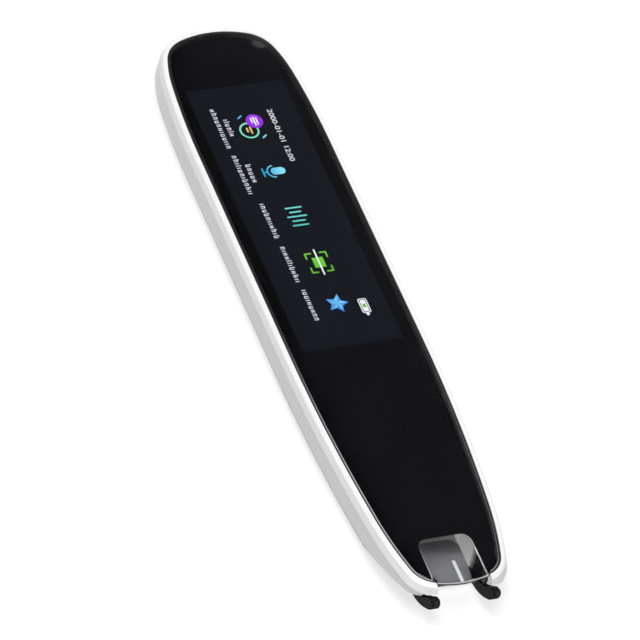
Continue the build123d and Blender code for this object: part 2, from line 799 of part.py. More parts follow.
def make_usb_c_socket():
    """Steel shell of the charging socket with the tongue inside."""
    mouth = tail_y + shell_flare / 2
    back = mouth - port_depth
    outer = port_stadium(port_width, port_height, back, mouth)
    inner = port_stadium(port_width - 2 * port_wall, port_height - 2 * port_wall,
                         back + port_back_wall, mouth + cut_over)
    tongue = block((-tongue_width / 2, tongue_width / 2),
                   (back + port_wall, back + port_back_wall + tongue_length),
                   (port_z - tongue_thickness / 2, port_z + tongue_thickness / 2))
    return outer - inner + tongue


def make_port_flex():
    """Flexible lead from the tail's board along the cell to the main board."""
    front_y = board_back_y - port_flex_overlap
    run_y = battery_back_y + battery_gap / 2
    top = board_top_z
    end_y = port_board_front_y + port_flex_overlap
    low = port_board_top()
    points = [(front_y, top + flex_thickness), (run_y, top + flex_thickness), (run_y, low + flex_thickness),
              (end_y, low + flex_thickness), (end_y, low), (run_y - flex_thickness, low),
              (run_y - flex_thickness, top), (front_y, top)]
    x_middle = -board_half_width / 2
    return side_profile(points, x_middle - port_flex_width / 2, x_middle + port_flex_width / 2)


def make_microphone():
    """Microphone on the tail's board."""
    width, length, height = microphone_size
    back = port_board_back_y
    top = port_board_top()
    return block((microphone_x - width / 2, microphone_x + width / 2), (back - length, back),
                 (top, top + height))


def make_lanyard_pin():
    """Steel pin that the wrist loop goes round."""
    pin_y = tail_y - lanyard_pin_in
    half = lanyard_slot_width / 2 + lanyard_boss_width
    return rod(lanyard_pin_radius, (-half, pin_y, lanyard_z), (half, pin_y, lanyard_z))


def speaker_plan(inset):
    """Rounded plan of the loudspeaker, drawn in by an inset."""
    width, length, _ = speaker_size
    return Pos(0, speaker_y, 0) * RectangleRounded(width - 2 * inset, length - 2 * inset,
                                                     speaker_corner - inset)


def make_speaker():
    """Flat loudspeaker that faces the holes in the back."""
    low = shell_wall + mesh_thickness
    body = Pos(0, 0, low) * extrude(speaker_plan(0.0), speaker_size[2])
    dish = Pos(0, 0, low) * extrude(speaker_plan(speaker_rim), speaker_dish)
    return body - dish


def make_speaker_mesh():
    """Dust mesh between the loudspeaker and the holes."""
    return Pos(0, 0, shell_wall) * extrude(speaker_plan(speaker_rim / 2), mesh_thickness)


def make_power_button():
    """Round-ended key with a flange that keeps it inside the wall."""
    outer_x = opening_half_width + shell_flare + power_proud
    key = power_stadium(power_length, power_height, power_flange_x - power_flange, outer_x)
    key = fillet(key.faces().sort_by(Axis.X)[-1].edges(), power_proud / 2)
    flange = block((power_flange_x - power_flange, power_flange_x),
                   (power_y - power_flange_length / 2, power_y + power_flange_length / 2),
                   (power_z - power_flange_height / 2, power_z + power_flange_height / 2))
    return key + flange


def power_plunger_x():
    """Where the power switch's plunger touches the key."""
    return power_flange_x - power_flange


def make_power_switch():
    """Side-push switch behind the power key."""
    depth, length, height = power_switch_size
    front = power_plunger_x() - power_plunger_length
    body = block((front - depth, front), (power_y - length / 2, power_y + length / 2),
                 (power_z - height / 2, power_z + height / 2))
    bore_end = front - power_plunger_inside - power_travel - slide_gap
    return body - rod(power_plunger_radius + shaft_gap, (bore_end, power_y, power_z),
                      (front + cut_over, power_y, power_z))


def make_power_switch_plunger():
    """Stem between the key and the switch."""
    front = power_plunger_x() - power_plunger_length
    return rod(power_plunger_radius, (front - power_plunger_inside, power_y, power_z),
               (power_plunger_x(), power_y, power_z))


def make_power_flex():
    """Flexible lead from the power switch along the cell to the main board."""
    x_back = power_plunger_x() - power_plunger_length - power_switch_size[0]
    low = board_z - power_flex_height
    long_run = block((x_back - flex_thickness, x_back),
                     (board_back_y - port_flex_overlap, power_y + power_switch_size[1] / 2),
                     (low, board_z))
    foot = block((board_half_width - power_flex_height, x_back),
                 (board_back_y - port_flex_overlap, board_back_y - flex_thickness),
                 (board_z - flex_thickness, board_z))
    return long_run + foot


def toe_points(shares):
    """Points of a toe's side outline from shares of its reach and of the body's thickness."""
    return [(tip_y - ahead * toe_reach, lip_z - down * body_thickness) for ahead, down in shares]


def make_toe():
    """Right toe: a blade with a blunt rounded front and a swept underside."""
    top = toe_points(toe_top_shares)
    front = toe_points(toe_front_shares)
    under = toe_points(toe_under_shares)
    floor_z = shoe_lift
    nose_curve = Spline(top[-1], *front, *under)
    closing = Polyline(under[-1], (top[0][0], floor_z), *top)
    face = Plane.YZ * make_face([nose_curve, closing])
    toe = Pos(toe_inner, 0, 0) * extrude(face, toe_width)
    swept = toe.faces().sort_by(Axis.X)[-1].edges().filter_by(GeomType.BSPLINE)
    relief = block((0, toe_inner + toe_relief), (tip_y + toe_relief_front, tip_y + toe_back + cut_over),
                   (-cut_over, lip_z))
    return fillet(swept, toe_round) - relief


def make_nose_shoe():
    """Sliding tray: plate, two toes, tray sides, two arms and the bridge that works the switch."""
    plate_back = tip_y + shoe_plate_back
    plate_front = tip_y + shoe_plate_front
    wide_from = tip_y + tray_side_front
    toe_outer = toe_inner + toe_width
    plan = [(shoe_half_width, plate_back), (shoe_half_width, wide_from), (toe_outer, plate_front),
            (-toe_outer, plate_front), (-shoe_half_width, wide_from), (-shoe_half_width, plate_back)]
    plate = Pos(0, 0, shoe_lift) * extrude(make_face(Polyline(*plan, close=True)), shoe_plate)
    plate = fillet(plate.edges().filter_by(Axis.Z).sort_by(Axis.Y)[-2:], shoe_corner)
    shoe = plate
    inner = shoe_half_width - tray_side
    toe = make_toe()
    wall_back = plate_back - shoe_corner
    root_front = tip_y + toe_root_front
    side_wall = block((inner, shoe_half_width), (root_front, wall_back), (toe_root_low, tray_side_height))
    side_wall += block((inner, shoe_half_width), (wide_from, wall_back),
                       (shoe_lift + shoe_plate / 2, tray_side_height))
    root = block((toe_inner + toe_relief, shoe_half_width), (root_front, tip_y + toe_back),
                 (toe_root_low, tray_side_height))
    arm = block((inner, shoe_half_width), (tip_y + arm_front - shoe_corner, bridge_back_y),
                (arm_z, arm_z + arm_height))
    slot_half = roller_width / 2 + roller_slot_gap
    slot = rod(roller_radius + roller_slot_gap, (roller_x - slot_half, roller_y, roller_z),
               (roller_x + slot_half, roller_y, roller_z))
    slot += block((roller_x - slot_half, roller_x + slot_half),
                  (tip_y - toe_reach - cut_over, roller_y),
                  (roller_z - roller_radius - roller_slot_gap, roller_z + roller_radius + roller_slot_gap))
    pin_hole = rod(pin_radius, (roller_x - pin_length / 2, roller_y, roller_z),
                   (roller_x + pin_length / 2, roller_y, roller_z))
    half_shoe = toe + root + side_wall + arm - slot - pin_hole
    for piece in both(half_shoe):
        shoe += piece
    shoe += block((-shoe_half_width, shoe_half_width), (bridge_y, bridge_back_y),
                  (arm_z, arm_z + arm_height))
    for side in (1, -1):
        shoe += rod(spring_peg_radius, (side * spring_x, bridge_back_y, spring_z),
                    (side * spring_x, bridge_back_y + spring_peg_length, spring_z))
    return shoe


def make_roller_pins():
    """Pins that carry the two rollers."""
    pin = rod(pin_radius, (roller_x - pin_length / 2, roller_y, roller_z),
              (roller_x + pin_length / 2, roller_y, roller_z))
    return Compound(children=both(pin))


def make_roller(side):
    """Small rubber wheel with grooves across its tread."""
    x = side * roller_x
    wheel = rod(roller_radius, (x - roller_width / 2, roller_y, roller_z),
                (x + roller_width / 2, roller_y, roller_z))
    wheel -= rod(pin_radius + shaft_gap, (x - roller_width, roller_y, roller_z),
                 (x + roller_width, roller_y, roller_z))
    for number in range(tread_grooves):
        turn = math.radians(360.0 * (number + 0.5) / tread_grooves)
        y = roller_y + roller_radius * math.cos(turn)
        z = roller_z + roller_radius * math.sin(turn)
        wheel -= rod(tread_groove_radius, (x - roller_width, y, z), (x + roller_width, y, z))
    return wheel


def make_shoe_spring(side):
    """Compression spring between the shoe's bridge and a rib of the shell.

    A ruled loft through sections of the wire, each square to the helix: a point goes round the
    spring's radius while it climbs by the pitch in each turn.
    """
    length = spring_length - 2 * seat_gap - spring_wire
    climb = math.atan2(length / spring_turns, 2 * math.pi * spring_radius)
    start_y = bridge_back_y + seat_gap + spring_wire / 2
    sections = []
    for step in range(spring_turns * spring_steps + 1):
        turn = 2 * math.pi * step / spring_steps
        outward = Vector(math.cos(turn), 0, math.sin(turn))
        middle = Vector(side * spring_x, start_y + length * step / (spring_turns * spring_steps), spring_z)
        along = Vector(-math.sin(turn) * math.cos(climb), math.sin(climb), math.cos(turn) * math.cos(climb))
        plane = Plane(origin=middle + outward * spring_radius, x_dir=outward, z_dir=along)
        sections.append(plane * RegularPolygon(spring_wire / 2, spring_sides))
    return loft(sections, ruled=True)


def scan_switch_y():
    """Front face of the scan switch."""
    return board_front_y + scan_switch_inset


def make_scan_switch():
    """Side-push switch that hangs under the front of the main board."""
    width, depth, height = scan_switch_size
    front = scan_switch_y()
    body = block((-width / 2, width / 2), (front, front + depth), (board_z - height, board_z))
    return body - rod(scan_plunger_radius + shaft_gap, (0, front - cut_over, spring_z),
                      (0, front + scan_bore_depth, spring_z))


def make_scan_switch_plunger():
    """Stem between the shoe's bridge and the scan switch."""
    return rod(scan_plunger_radius, (0, bridge_back_y, spring_z),
               (0, scan_switch_y() + scan_plunger_inside, spring_z))


def make_nose_chamber():
    """Rear and side walls of the scan chamber, with the camera's aperture."""
    outer = chamber_half_width + chamber_wall
    back = chamber_back_y + chamber_wall
    low = chamber_floor_z
    rear = block((-outer, outer), (chamber_back_y, back), (low, chamber_top_z))
    ear_x = outline_half_width(tip_y + chamber_back) - mid_frame_arm - slide_gap
    ear_top = ledge_z + chamber_ear_height
    rear += block((-ear_x, ear_x), (chamber_back_y, back), (ledge_z, ear_top))
    rear -= rod(chamber_aperture, (0, chamber_back_y - cut_over, camera_z), (0, back + cut_over, camera_z))
    wall = block((chamber_half_width, outer), (tip_y + chamber_front, back), (low, chamber_top_z))
    slot_low = chamber_floor_z + chamber_floor_thickness + guide_clear
    corner = chamber_back_y - chamber_corner_slot
    triangle = side_profile([(corner, slot_low), (chamber_back_y, slot_low),
                             (corner, camera_z - chamber_corner_slot)],
                            chamber_half_width - cut_over, outer + cut_over)
    walls = both(wall - triangle)
    chamber = rear + walls[0] + walls[1]
    for side in (1, -1):
        x = side * (chamber_half_width - guide_thickness / 2 - lamp_size[0] / 4)
        hole = lamp_block(x, seat_gap)
        chamber -= hole
    return chamber


def outline_half_width(y):
    """Half the width of the opening at a place on the nose, on its second arc."""
    reach = end_arcs(nose_radii, nose_turns, 0.0)[1]
    along = tip_y + reach - y
    first = nose_radii[0]
    return opening_half_width - (first - math.sqrt(first ** 2 - along ** 2))


def lamp_block(x, grow):
    """A lamp, or with some growth the hole for it."""
    width, depth, height = lamp_size
    z = lamp_z_share * body_thickness
    back = chamber_back_y + chamber_wall
    return block((x - width / 2 - grow, x + width / 2 + grow), (back - depth, back + grow / 2),
                 (z - height / 2 - grow, z + height / 2 + grow))


def make_led_lamps():
    """Two lamps that shine into the light guides."""
    lamps = []
    for side in (1, -1):
        x = side * (chamber_half_width - guide_thickness / 2 - lamp_size[0] / 4)
        lamps.append(lamp_block(x, 0.0))
    return Compound(children=lamps)


def make_led_board():
    """Thin board behind the chamber's rear wall, with a hole for the lens barrel."""
    half = chamber_half_width + chamber_wall
    front = chamber_back_y + chamber_wall
    low = camera_z - led_board_height / 2
    board = block((-half, half), (front, front + led_board_thickness), (low, low + led_board_height))
    return board - rod(chamber_aperture, (0, front - cut_over, camera_z),
                       (0, front + cut_over, camera_z))


def make_chamber_floor():
    """Matt panel on the chamber's floor, with rounded back corners."""
    low = chamber_floor_z
    floor = block((-chamber_floor_half_width, chamber_floor_half_width),
                  (tip_y + chamber_floor_front, chamber_back_y), (low, low + chamber_floor_thickness))
    return fillet(floor.edges().filter_by(Axis.Z).sort_by(Axis.Y)[-2:], chamber_floor_corner)


def make_light_guide(side):
    """Pale panel on the inner side of the chamber that spreads the lamps' light."""
    low = chamber_floor_z + chamber_floor_thickness + skin
    inner = chamber_half_width - guide_thickness
    guide = block((inner, chamber_half_width),
                  (tip_y + chamber_front, chamber_back_y - chamber_corner_slot),
                  (low, chamber_top_z - guide_clear))
    return guide if side > 0 else mirror(guide, Plane.YZ)


def make_lens_barrel():
    """Ridged barrel with the lens in its front."""
    front = tip_y + barrel_front
    barrel = rod(barrel_radius, (0, front, camera_z), (0, front + barrel_length, camera_z))
    barrel -= rod(lens_radius + shaft_gap, (0, front - cut_over, camera_z),
                  (0, front + lens_recess + lens_thickness, camera_z))
    barrel -= rod(lens_radius * lens_clear_share, (0, front, camera_z),
                  (0, front + barrel_length + cut_over, camera_z))
    for number in range(barrel_ridges):
        y = front + (number + 1) * barrel_ridge_pitch
        ring = rod(barrel_radius + cut_over, (0, y, camera_z), (0, y + barrel_ridge_depth, camera_z))
        ring -= rod(barrel_radius - barrel_ridge_depth, (0, y - cut_over, camera_z),
                    (0, y + cut_over, camera_z))
        barrel -= ring
    return barrel


def make_camera_lens():
    """Glass element with a bulging front face."""
    front = tip_y + barrel_front + lens_recess
    disc = rod(lens_radius, (0, front, camera_z), (0, front + lens_thickness, camera_z))
    ball = (lens_radius ** 2 + lens_bulge ** 2) / (2 * lens_bulge)
    return disc & (Pos(0, front + ball, camera_z) * Sphere(ball))


def make_camera_holder():
    """Square block that holds the barrel in front of the image sensor."""
    width, depth, height = holder_size
    front = tip_y + holder_front
    holder = block((-width / 2, width / 2), (front, front + depth),
                   (camera_z - height / 2, camera_z + height / 2))
    barrel_end = tip_y + barrel_front + barrel_length
    holder -= rod(barrel_radius + shaft_gap / 2, (0, front - cut_over, camera_z),
                  (0, barrel_end, camera_z))
    holder -= block((-sensor_size[0] / 2 - slide_gap, sensor_size[0] / 2 + slide_gap),
                    (barrel_end - skin, front + depth + cut_over),
                    (camera_z - sensor_size[2] / 2 - slide_gap, camera_z + sensor_size[2] / 2 + slide_gap))
    return holder


def camera_board_y():
    """Front face of the camera's board."""
    return tip_y + holder_front + holder_size[1]


def make_camera_board():
    """Upright board behind the camera."""
    width, depth, height = camera_board_size
    front = camera_board_y()
    return block((-width / 2, width / 2), (front, front + depth),
                 (camera_z - height / 2, camera_z + height / 2))


def make_image_sensor():
    """Image sensor on the front of the camera's board."""
    width, depth, height = sensor_size
    back = camera_board_y()
    return block((-width / 2, width / 2), (back - depth, back),
                 (camera_z - height / 2, camera_z + height / 2))


def make_camera_flex():
    """Flexible lead from the camera's board to the main board."""
    start = camera_board_y() + camera_board_size[1]
    low = board_top_z
    end = board_front_y + camera_flex_overlap
    up = camera_z + camera_board_size[2] / 4
    points = [(start, low), (end, low), (end, low + flex_thickness),
              (start + flex_thickness, low + flex_thickness), (start + flex_thickness, up), (start, up)]
    return side_profile(points, -camera_flex_width / 2, camera_flex_width / 2)


pieces = {
    "rear_shell": make_rear_shell(),
    "glass_frame": make_glass_frame(),
    "cover_glass": make_cover_glass(),
    "mask_film": make_mask_film(),
    "pointer_line": make_pointer_line(),
    "lcd_panel": make_lcd_panel(),
    "backlight_unit": make_backlight_unit(),
    "lcd_flex": make_lcd_flex(),
    "mid_frame": make_mid_frame(),
    "frame_screws": make_frame_screws(),
    "main_board": make_main_board(),
    "board_screws": make_board_screws(),
    "processor_shield": make_processor_shield(),
    "memory_chips": make_memory_chips(),
    "radio_module": make_radio_module(),
    "battery": make_battery(),
    "battery_lead": make_battery_lead(),
    "battery_connector": make_battery_connector(),
    "port_board": make_port_board(),
    "usb_c_socket": make_usb_c_socket(),
    "port_flex": make_port_flex(),
    "microphone": make_microphone(),
    "lanyard_pin": make_lanyard_pin(),
    "speaker": make_speaker(),
    "speaker_mesh": make_speaker_mesh(),
    "power_button": make_power_button(),
    "power_switch": make_power_switch(),
    "power_switch_plunger": make_power_switch_plunger(),
    "power_flex": make_power_flex(),
    "nose_shoe": make_nose_shoe(),
    "roller_pins": make_roller_pins(),
    "left_roller": make_roller(-1),
    "right_roller": make_roller(1),
    "left_shoe_spring": make_shoe_spring(-1),
    "right_shoe_spring": make_shoe_spring(1),
    "scan_switch": make_scan_switch(),
    "scan_switch_plunger": make_scan_switch_plunger(),
    "nose_chamber": make_nose_chamber(),
    "chamber_floor": make_chamber_floor(),
    "left_light_guide": make_light_guide(-1),
    "right_light_guide": make_light_guide(1),
    "led_board": make_led_board(),
    "led_lamps": make_led_lamps(),
    "camera_board": make_camera_board(),
    "image_sensor": make_image_sensor(),
    "camera_holder": make_camera_holder(),
    "lens_barrel": make_lens_barrel(),
    "camera_lens": make_camera_lens(),
    "camera_flex": make_camera_flex(),
}

os.makedirs("parts", exist_ok=True)
for name, piece in pieces.items():
    export_step(piece, f"parts/{name}.step")
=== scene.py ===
"""Looks of a scanning pen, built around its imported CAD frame.

The shell, the works and the nose keep their CAD solids and get their finishes here. The glass, the
bead and bevel round it, the floor, cove and edges of the nose window and the display's icons are
new surfaces, worked out in millimetres.
"""
import math

import bmesh
import bpy
import numpy as np
from mathutils import Matrix, Vector


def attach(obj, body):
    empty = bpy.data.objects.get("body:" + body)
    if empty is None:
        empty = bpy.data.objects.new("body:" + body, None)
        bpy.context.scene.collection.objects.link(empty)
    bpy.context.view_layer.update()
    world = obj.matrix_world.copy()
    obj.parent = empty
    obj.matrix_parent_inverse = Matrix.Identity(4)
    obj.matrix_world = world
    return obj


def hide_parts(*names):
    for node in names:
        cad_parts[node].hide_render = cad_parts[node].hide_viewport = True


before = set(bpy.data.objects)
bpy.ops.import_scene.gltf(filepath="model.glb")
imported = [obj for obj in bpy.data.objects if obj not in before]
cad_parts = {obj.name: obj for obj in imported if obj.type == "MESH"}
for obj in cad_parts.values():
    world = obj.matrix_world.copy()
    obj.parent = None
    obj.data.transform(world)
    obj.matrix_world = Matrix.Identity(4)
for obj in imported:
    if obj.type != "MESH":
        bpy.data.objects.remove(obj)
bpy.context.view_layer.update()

mm = 0.001
same_place = 1e-7

# Plan of the pen: half width, straight ends and the arcs of each end (radius, turn in degrees)
opening_half_width = 15.05
tip_y = -74.35
tail_y = 75.85
lip_z = 10.0
tail_arcs = ((190.0, 6.0), (33.0, 13.0), (7.6, 51.0))
nose_arcs = ((400.0, 6.3), (77.0, 9.7), (5.9, 56.8))
points_on_arc = 12
points_on_side = 24

# Glass: its underside, how far it lies inside the opening, its curved edge, and its tongue at the tip
glass_bottom = 9.11
glass_inset = 0.80
glass_curve_width = 0.95
glass_curve_drop = 0.42
glass_curve_power = 2.4
glass_curve_points = 13
glass_foot = 0.08
tongue_half_width = 6.35
tongue_blend = 0.25

# Bead on the glass frame, open at the front of the nose, and the section of the bevel outside it, as
# (distance outside the opening, height)
bead_inset = 0.68
bead_radius = 0.12
bead_middle_z = 9.87
bead_sides = 16
nose_reach = 20.0
bevel_section = ((-0.50, 9.80), (-0.585, 9.97), (-0.62, 9.97), (-0.62, 9.80))

# Nose window: floor panel, cove, white edges and the glass's ground edge; lengths start at the tip
floor_front = 5.7
floor_nose_half_width = 5.7
floor_half_width = 6.6
floor_step = (7.2, 7.9)
floor_back = 16.35
floor_corner = 2.3
floor_bottom_z = 1.2
floor_top_z = 1.72
cove_half_width = 6.6
cove_wall = 17.88
cove_rise = 1.0
cove_sink = 0.02
cove_bottom_z = 1.25
points_across = 49
points_on_corner = 9
trim_inner = 5.84
trim_outer = 5.99
trim_low = 8.62
trim_high = 9.0
trim_front = 0.35
trim_back = 10.6
edge_low = 9.66
edge_high = 9.88
edge_slope = 0.10
edge_outside = 0.03
edge_inside = -0.10
# span along the pen, counted from the tip, of the guide's painted glow
guide_painted_glow = (9.0, 17.5)

# Display: its middle and its front, and the thickness and steps in height of what is drawn on it
display_y = 24.85
screen_z = 9.012
ink_thickness = 0.012
ink_step = 0.014
crossing_step = 0.002
icon_stroke = 0.36
clock_middle = (5.22, 21.2)
clock_size = 1.75
clock_tall = 1.17
clock_long = 14.7

# Captions: letter height, shares of it, and the chances of a tall stroke and of a second one
caption_height = 1.22
stroke_share = 0.14
foot_share = 0.42
low_share = 0.66
tall_share = 0.95
pair_share = 0.37
pitch_share = 0.50
tall_chance = 0.25
pair_chance = 0.7
caption_points = 3

# Camera, light and floor; lengths in metres, angles in degrees
camera_aim = (-0.00512, -0.00442, 0.010)
camera_angles = (-35.664, 47.345, 19.666)
camera_distance = 1.23725
camera_lens = 337.5
studio_bright_side = (-0.25, -0.25, 0.93)
studio_tones = ((0.07, 0.07, 0.073), (0.56, 0.56, 0.56))
floor_reach = 12.0
floor_base = 0.30
floor_seen = 0.72


def half_end(arcs):
    """Points and outward directions of one rounded end, from the straight side to the centre line.

    Each arc starts where the last one stops and turns on in the same sense. The closing arc is
    centred on the centre line, so its radius is the width that is left over the sine of its turn.
    """
    left = opening_half_width
    angle = 0.0
    for radius, turn in arcs:
        left -= radius * (math.cos(math.radians(angle)) - math.cos(math.radians(angle + turn)))
        angle += turn
    closing_turn = 90.0 - angle
    closing = left / math.sin(math.radians(closing_turn))
    x, y, angle = opening_half_width, 0.0, 0.0
    places, outward = [], []
    for radius, turn in (*arcs, (closing, closing_turn)):
        turns = np.radians(np.linspace(angle, angle + turn, points_on_arc + 1))
        facing = np.stack((np.cos(turns), np.sin(turns)), axis=1)
        middle = np.array((x, y)) - radius * facing[0]
        along = middle + radius * facing
        places.append(along[:-1])
        outward.append(facing[:-1])
        x, y = along[-1]
        angle += turn
    places.append(np.array([[x, y]]))
    outward.append(np.array([[0.0, 1.0]]))
    return np.concatenate(places), np.concatenate(outward)


def pen_plan():
    """The closed plan of the opening, anticlockwise from the right side, with outward directions."""
    tail, tail_out = half_end(tail_arcs)
    nose, nose_out = half_end(nose_arcs)
    tail = tail + np.array((0.0, tail_y - tail[-1, 1]))
    nose = nose * np.array((1.0, -1.0)) + np.array((0.0, tip_y + nose[-1, 1]))
    nose_out = nose_out * np.array((1.0, -1.0))
    side_y = np.linspace(nose[0, 1], tail[0, 1], points_on_side + 1)[1:-1]
    side = np.stack((np.full_like(side_y, opening_half_width), side_y), axis=1)
    side_out = np.tile((1.0, 0.0), (len(side_y), 1))
    right = np.concatenate((nose[::-1], side, tail))
    right_out = np.concatenate((nose_out[::-1], side_out, tail_out))
    mirrored = np.array((-1.0, 1.0))
    left = right[-2:0:-1] * mirrored
    left_out = right_out[-2:0:-1] * mirrored
    return np.concatenate((right, left)), np.concatenate((right_out, left_out))


plan, plan_out = pen_plan()


def smooth_step(values, low, high):
    """0 below low, 1 above high, and a smooth S between them."""
    share = np.clip((values - low) / (high - low), 0.0, 1.0)
    return share * share * (3.0 - 2.0 * share)


def add_mesh(name, points, faces, material, body="body", smooth=False):
    """Makes one piece from points in millimetres and faces, which rides on a body."""
    mesh = bpy.data.meshes.new(name)
    mesh.from_pydata((np.asarray(points, float) * mm).tolist(), [], [list(face) for face in faces])
    work = bmesh.new()
    work.from_mesh(mesh)
    bmesh.ops.remove_doubles(work, verts=work.verts, dist=same_place)
    bmesh.ops.recalc_face_normals(work, faces=work.faces)
    work.to_mesh(mesh)
    work.free()
    mesh.polygons.foreach_set("use_smooth", np.full(len(mesh.polygons), smooth))
    mesh.materials.append(material)
    piece = bpy.data.objects.new(name, mesh)
    bpy.context.scene.collection.objects.link(piece)
    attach(piece, body)
    return piece


def grid_faces(rows, columns, close_rows=False, close_columns=True):
    """Quads of a grid whose points run row by row."""
    row = np.arange(rows if close_rows else rows - 1)
    column = np.arange(columns if close_columns else columns - 1)
    first, second = np.meshgrid(row, column, indexing="ij")
    after = (first + 1) % rows
    beside = (second + 1) % columns
    quads = np.stack((first * columns + second, first * columns + beside,
                      after * columns + beside, after * columns + second), axis=-1)
    return quads.reshape(-1, 4)


def flat_plate(name, loop, start_y, low, high, material):
    """A flat plate between two heights, from one closed loop of points with y counted from start_y."""
    loop = np.asarray(loop, float)
    count = len(loop)
    rows = [np.column_stack((loop[:, 0], loop[:, 1] + start_y, np.full(count, height)))
            for height in (low, high)]
    faces = [*grid_faces(2, count), range(count)[::-1], range(count, 2 * count)]
    return add_mesh(name, np.concatenate(rows), faces, material)


def run_of_plan(chosen):
    """Numbers of the plan's chosen points, which lie side by side, in their order round the pen."""
    start = int(np.argmax(chosen & ~np.roll(chosen, 1)))
    order = np.roll(np.arange(len(plan)), -start)
    return order[chosen[order]]


def strip_along_plan(name, order, section, material, smooth=False):
    """A closed strip along part of the plan; its section's corners are (outside the opening, height)."""
    rows = [np.column_stack((plan[order] + plan_out[order] * outside, np.full(len(order), height)))
            for outside, height in section]
    count = len(order)
    first = np.arange(len(section)) * count
    faces = [*grid_faces(len(section), count, close_rows=True, close_columns=False),
             first, first[::-1] + count - 1]
    return add_mesh(name, np.concatenate(rows), faces, material, smooth=smooth)


# Node groups


def new_group(name, inputs, outputs):
    """An empty shader node group with named sockets."""
    group = bpy.data.node_groups.new(name, "ShaderNodeTree")
    for label, kind, value in inputs:
        socket = group.interface.new_socket(label, in_out="INPUT", socket_type=kind)
        if value is not None:
            socket.default_value = value
    for label, kind in outputs:
        group.interface.new_socket(label, in_out="OUTPUT", socket_type=kind)
    return group, group.nodes.new("NodeGroupInput"), group.nodes.new("NodeGroupOutput")


def add_node(tree, kind, **settings):
    """A node with its settings; values for its inputs are given by name or by number in 'values'."""
    values = settings.pop("values", {})
    node = tree.nodes.new(kind)
    for key, value in settings.items():
        setattr(node, key, value)
    for key, value in values.items():
        node.inputs[key].default_value = value
    return node


def object_place(tree):
    """Object coordinates, which are the shared frame in metres."""
    return tree.nodes.new("ShaderNodeTexCoord").outputs["Object"]


def make_grain_group():
    """Moulded grain: fine noise for the height, and a drift for the tone that is twenty times as large.

    Per Metre is the scale of the fine noise.
    """
    group, start, end = new_group(
        "moulded_grain",
        (("Per Metre", "NodeSocketFloat", 4000.0), ("Tone Low", "NodeSocketFloat", 0.0),
         ("Tone High", "NodeSocketFloat", 1.0)),
        (("Height", "NodeSocketFloat"), ("Tone", "NodeSocketFloat")))
    place = object_place(group)
    fine = add_node(group, "ShaderNodeTexNoise", values={"Detail": 4.0, "Roughness": 0.6})
    slow = add_node(group, "ShaderNodeTexNoise", values={"Detail": 3.0, "Roughness": 0.5})
    fewer = add_node(group, "ShaderNodeMath", operation="MULTIPLY", values={1: 0.05})
    spread = add_node(group, "ShaderNodeMapRange", values={"From Min": 0.3, "From Max": 0.7})
    link = group.links.new
    link(place, fine.inputs["Vector"])
    link(place, slow.inputs["Vector"])
    link(start.outputs["Per Metre"], fine.inputs["Scale"])
    link(start.outputs["Per Metre"], fewer.inputs[0])
    link(fewer.outputs[0], slow.inputs["Scale"])
    link(slow.outputs["Fac"], spread.inputs["Value"])
    link(start.outputs["Tone Low"], spread.inputs["To Min"])
    link(start.outputs["Tone High"], spread.inputs["To Max"])
    link(fine.outputs["Fac"], end.inputs["Height"])
    link(spread.outputs["Result"], end.inputs["Tone"])
    return group


def make_handling_group():
    """Marks of handling: soft smudges and fine hairlines that change the polish."""
    group, start, end = new_group(
        "handling_marks",
        (("Polish", "NodeSocketFloat", 0.2), ("Smudge", "NodeSocketFloat", 0.08),
         ("Hairline", "NodeSocketFloat", 0.05)),
        (("Roughness", "NodeSocketFloat"),))
    place = object_place(group)
    link = group.links.new
    smudge = add_node(group, "ShaderNodeTexNoise", values={"Scale": 140.0, "Detail": 5.0})
    lines = add_node(group, "ShaderNodeTexNoise", values={"Scale": 900.0, "Detail": 2.0})
    stretch = add_node(group, "ShaderNodeMapping")
    stretch.inputs["Scale"].default_value = (1.0, 0.06, 1.0)
    stretch.inputs["Rotation"].default_value = (0.0, 0.0, 0.5)
    sharpen = add_node(group, "ShaderNodeMapRange", values={"From Min": 0.62, "From Max": 0.72})
    first = add_node(group, "ShaderNodeMath", operation="MULTIPLY_ADD")
    second = add_node(group, "ShaderNodeMath", operation="MULTIPLY_ADD")
    link(place, smudge.inputs["Vector"])
    link(place, stretch.inputs["Vector"])
    link(stretch.outputs[0], lines.inputs["Vector"])
    link(lines.outputs["Fac"], sharpen.inputs["Value"])
    link(smudge.outputs["Fac"], first.inputs[0])
    link(start.outputs["Smudge"], first.inputs[1])
    link(start.outputs["Polish"], first.inputs[2])
    link(sharpen.outputs["Result"], second.inputs[0])
    link(start.outputs["Hairline"], second.inputs[1])
    link(first.outputs[0], second.inputs[2])
    link(second.outputs[0], end.inputs["Roughness"])
    return group


def make_brushed_group():
    """Drawn metal: noise stretched along the pen, for the height and the polish."""
    group, start, end = new_group(
        "drawn_metal", (("Per Metre", "NodeSocketFloat", 9000.0), ("Polish", "NodeSocketFloat", 0.3)),
        (("Height", "NodeSocketFloat"), ("Roughness", "NodeSocketFloat")))
    link = group.links.new
    stretch = add_node(group, "ShaderNodeMapping")
    stretch.inputs["Scale"].default_value = (1.0, 0.04, 1.0)
    lines = add_node(group, "ShaderNodeTexNoise", values={"Detail": 3.0})
    polish = add_node(group, "ShaderNodeMath", operation="MULTIPLY_ADD", values={1: 0.22})
    link(object_place(group), stretch.inputs["Vector"])
    link(stretch.outputs[0], lines.inputs["Vector"])
    link(start.outputs["Per Metre"], lines.inputs["Scale"])
    link(lines.outputs["Fac"], end.inputs["Height"])
    link(lines.outputs["Fac"], polish.inputs[0])
    link(start.outputs["Polish"], polish.inputs[2])
    link(polish.outputs[0], end.inputs["Roughness"])
    return group


grain_group = make_grain_group()
handling_group = make_handling_group()
brushed_group = make_brushed_group()


# Materials


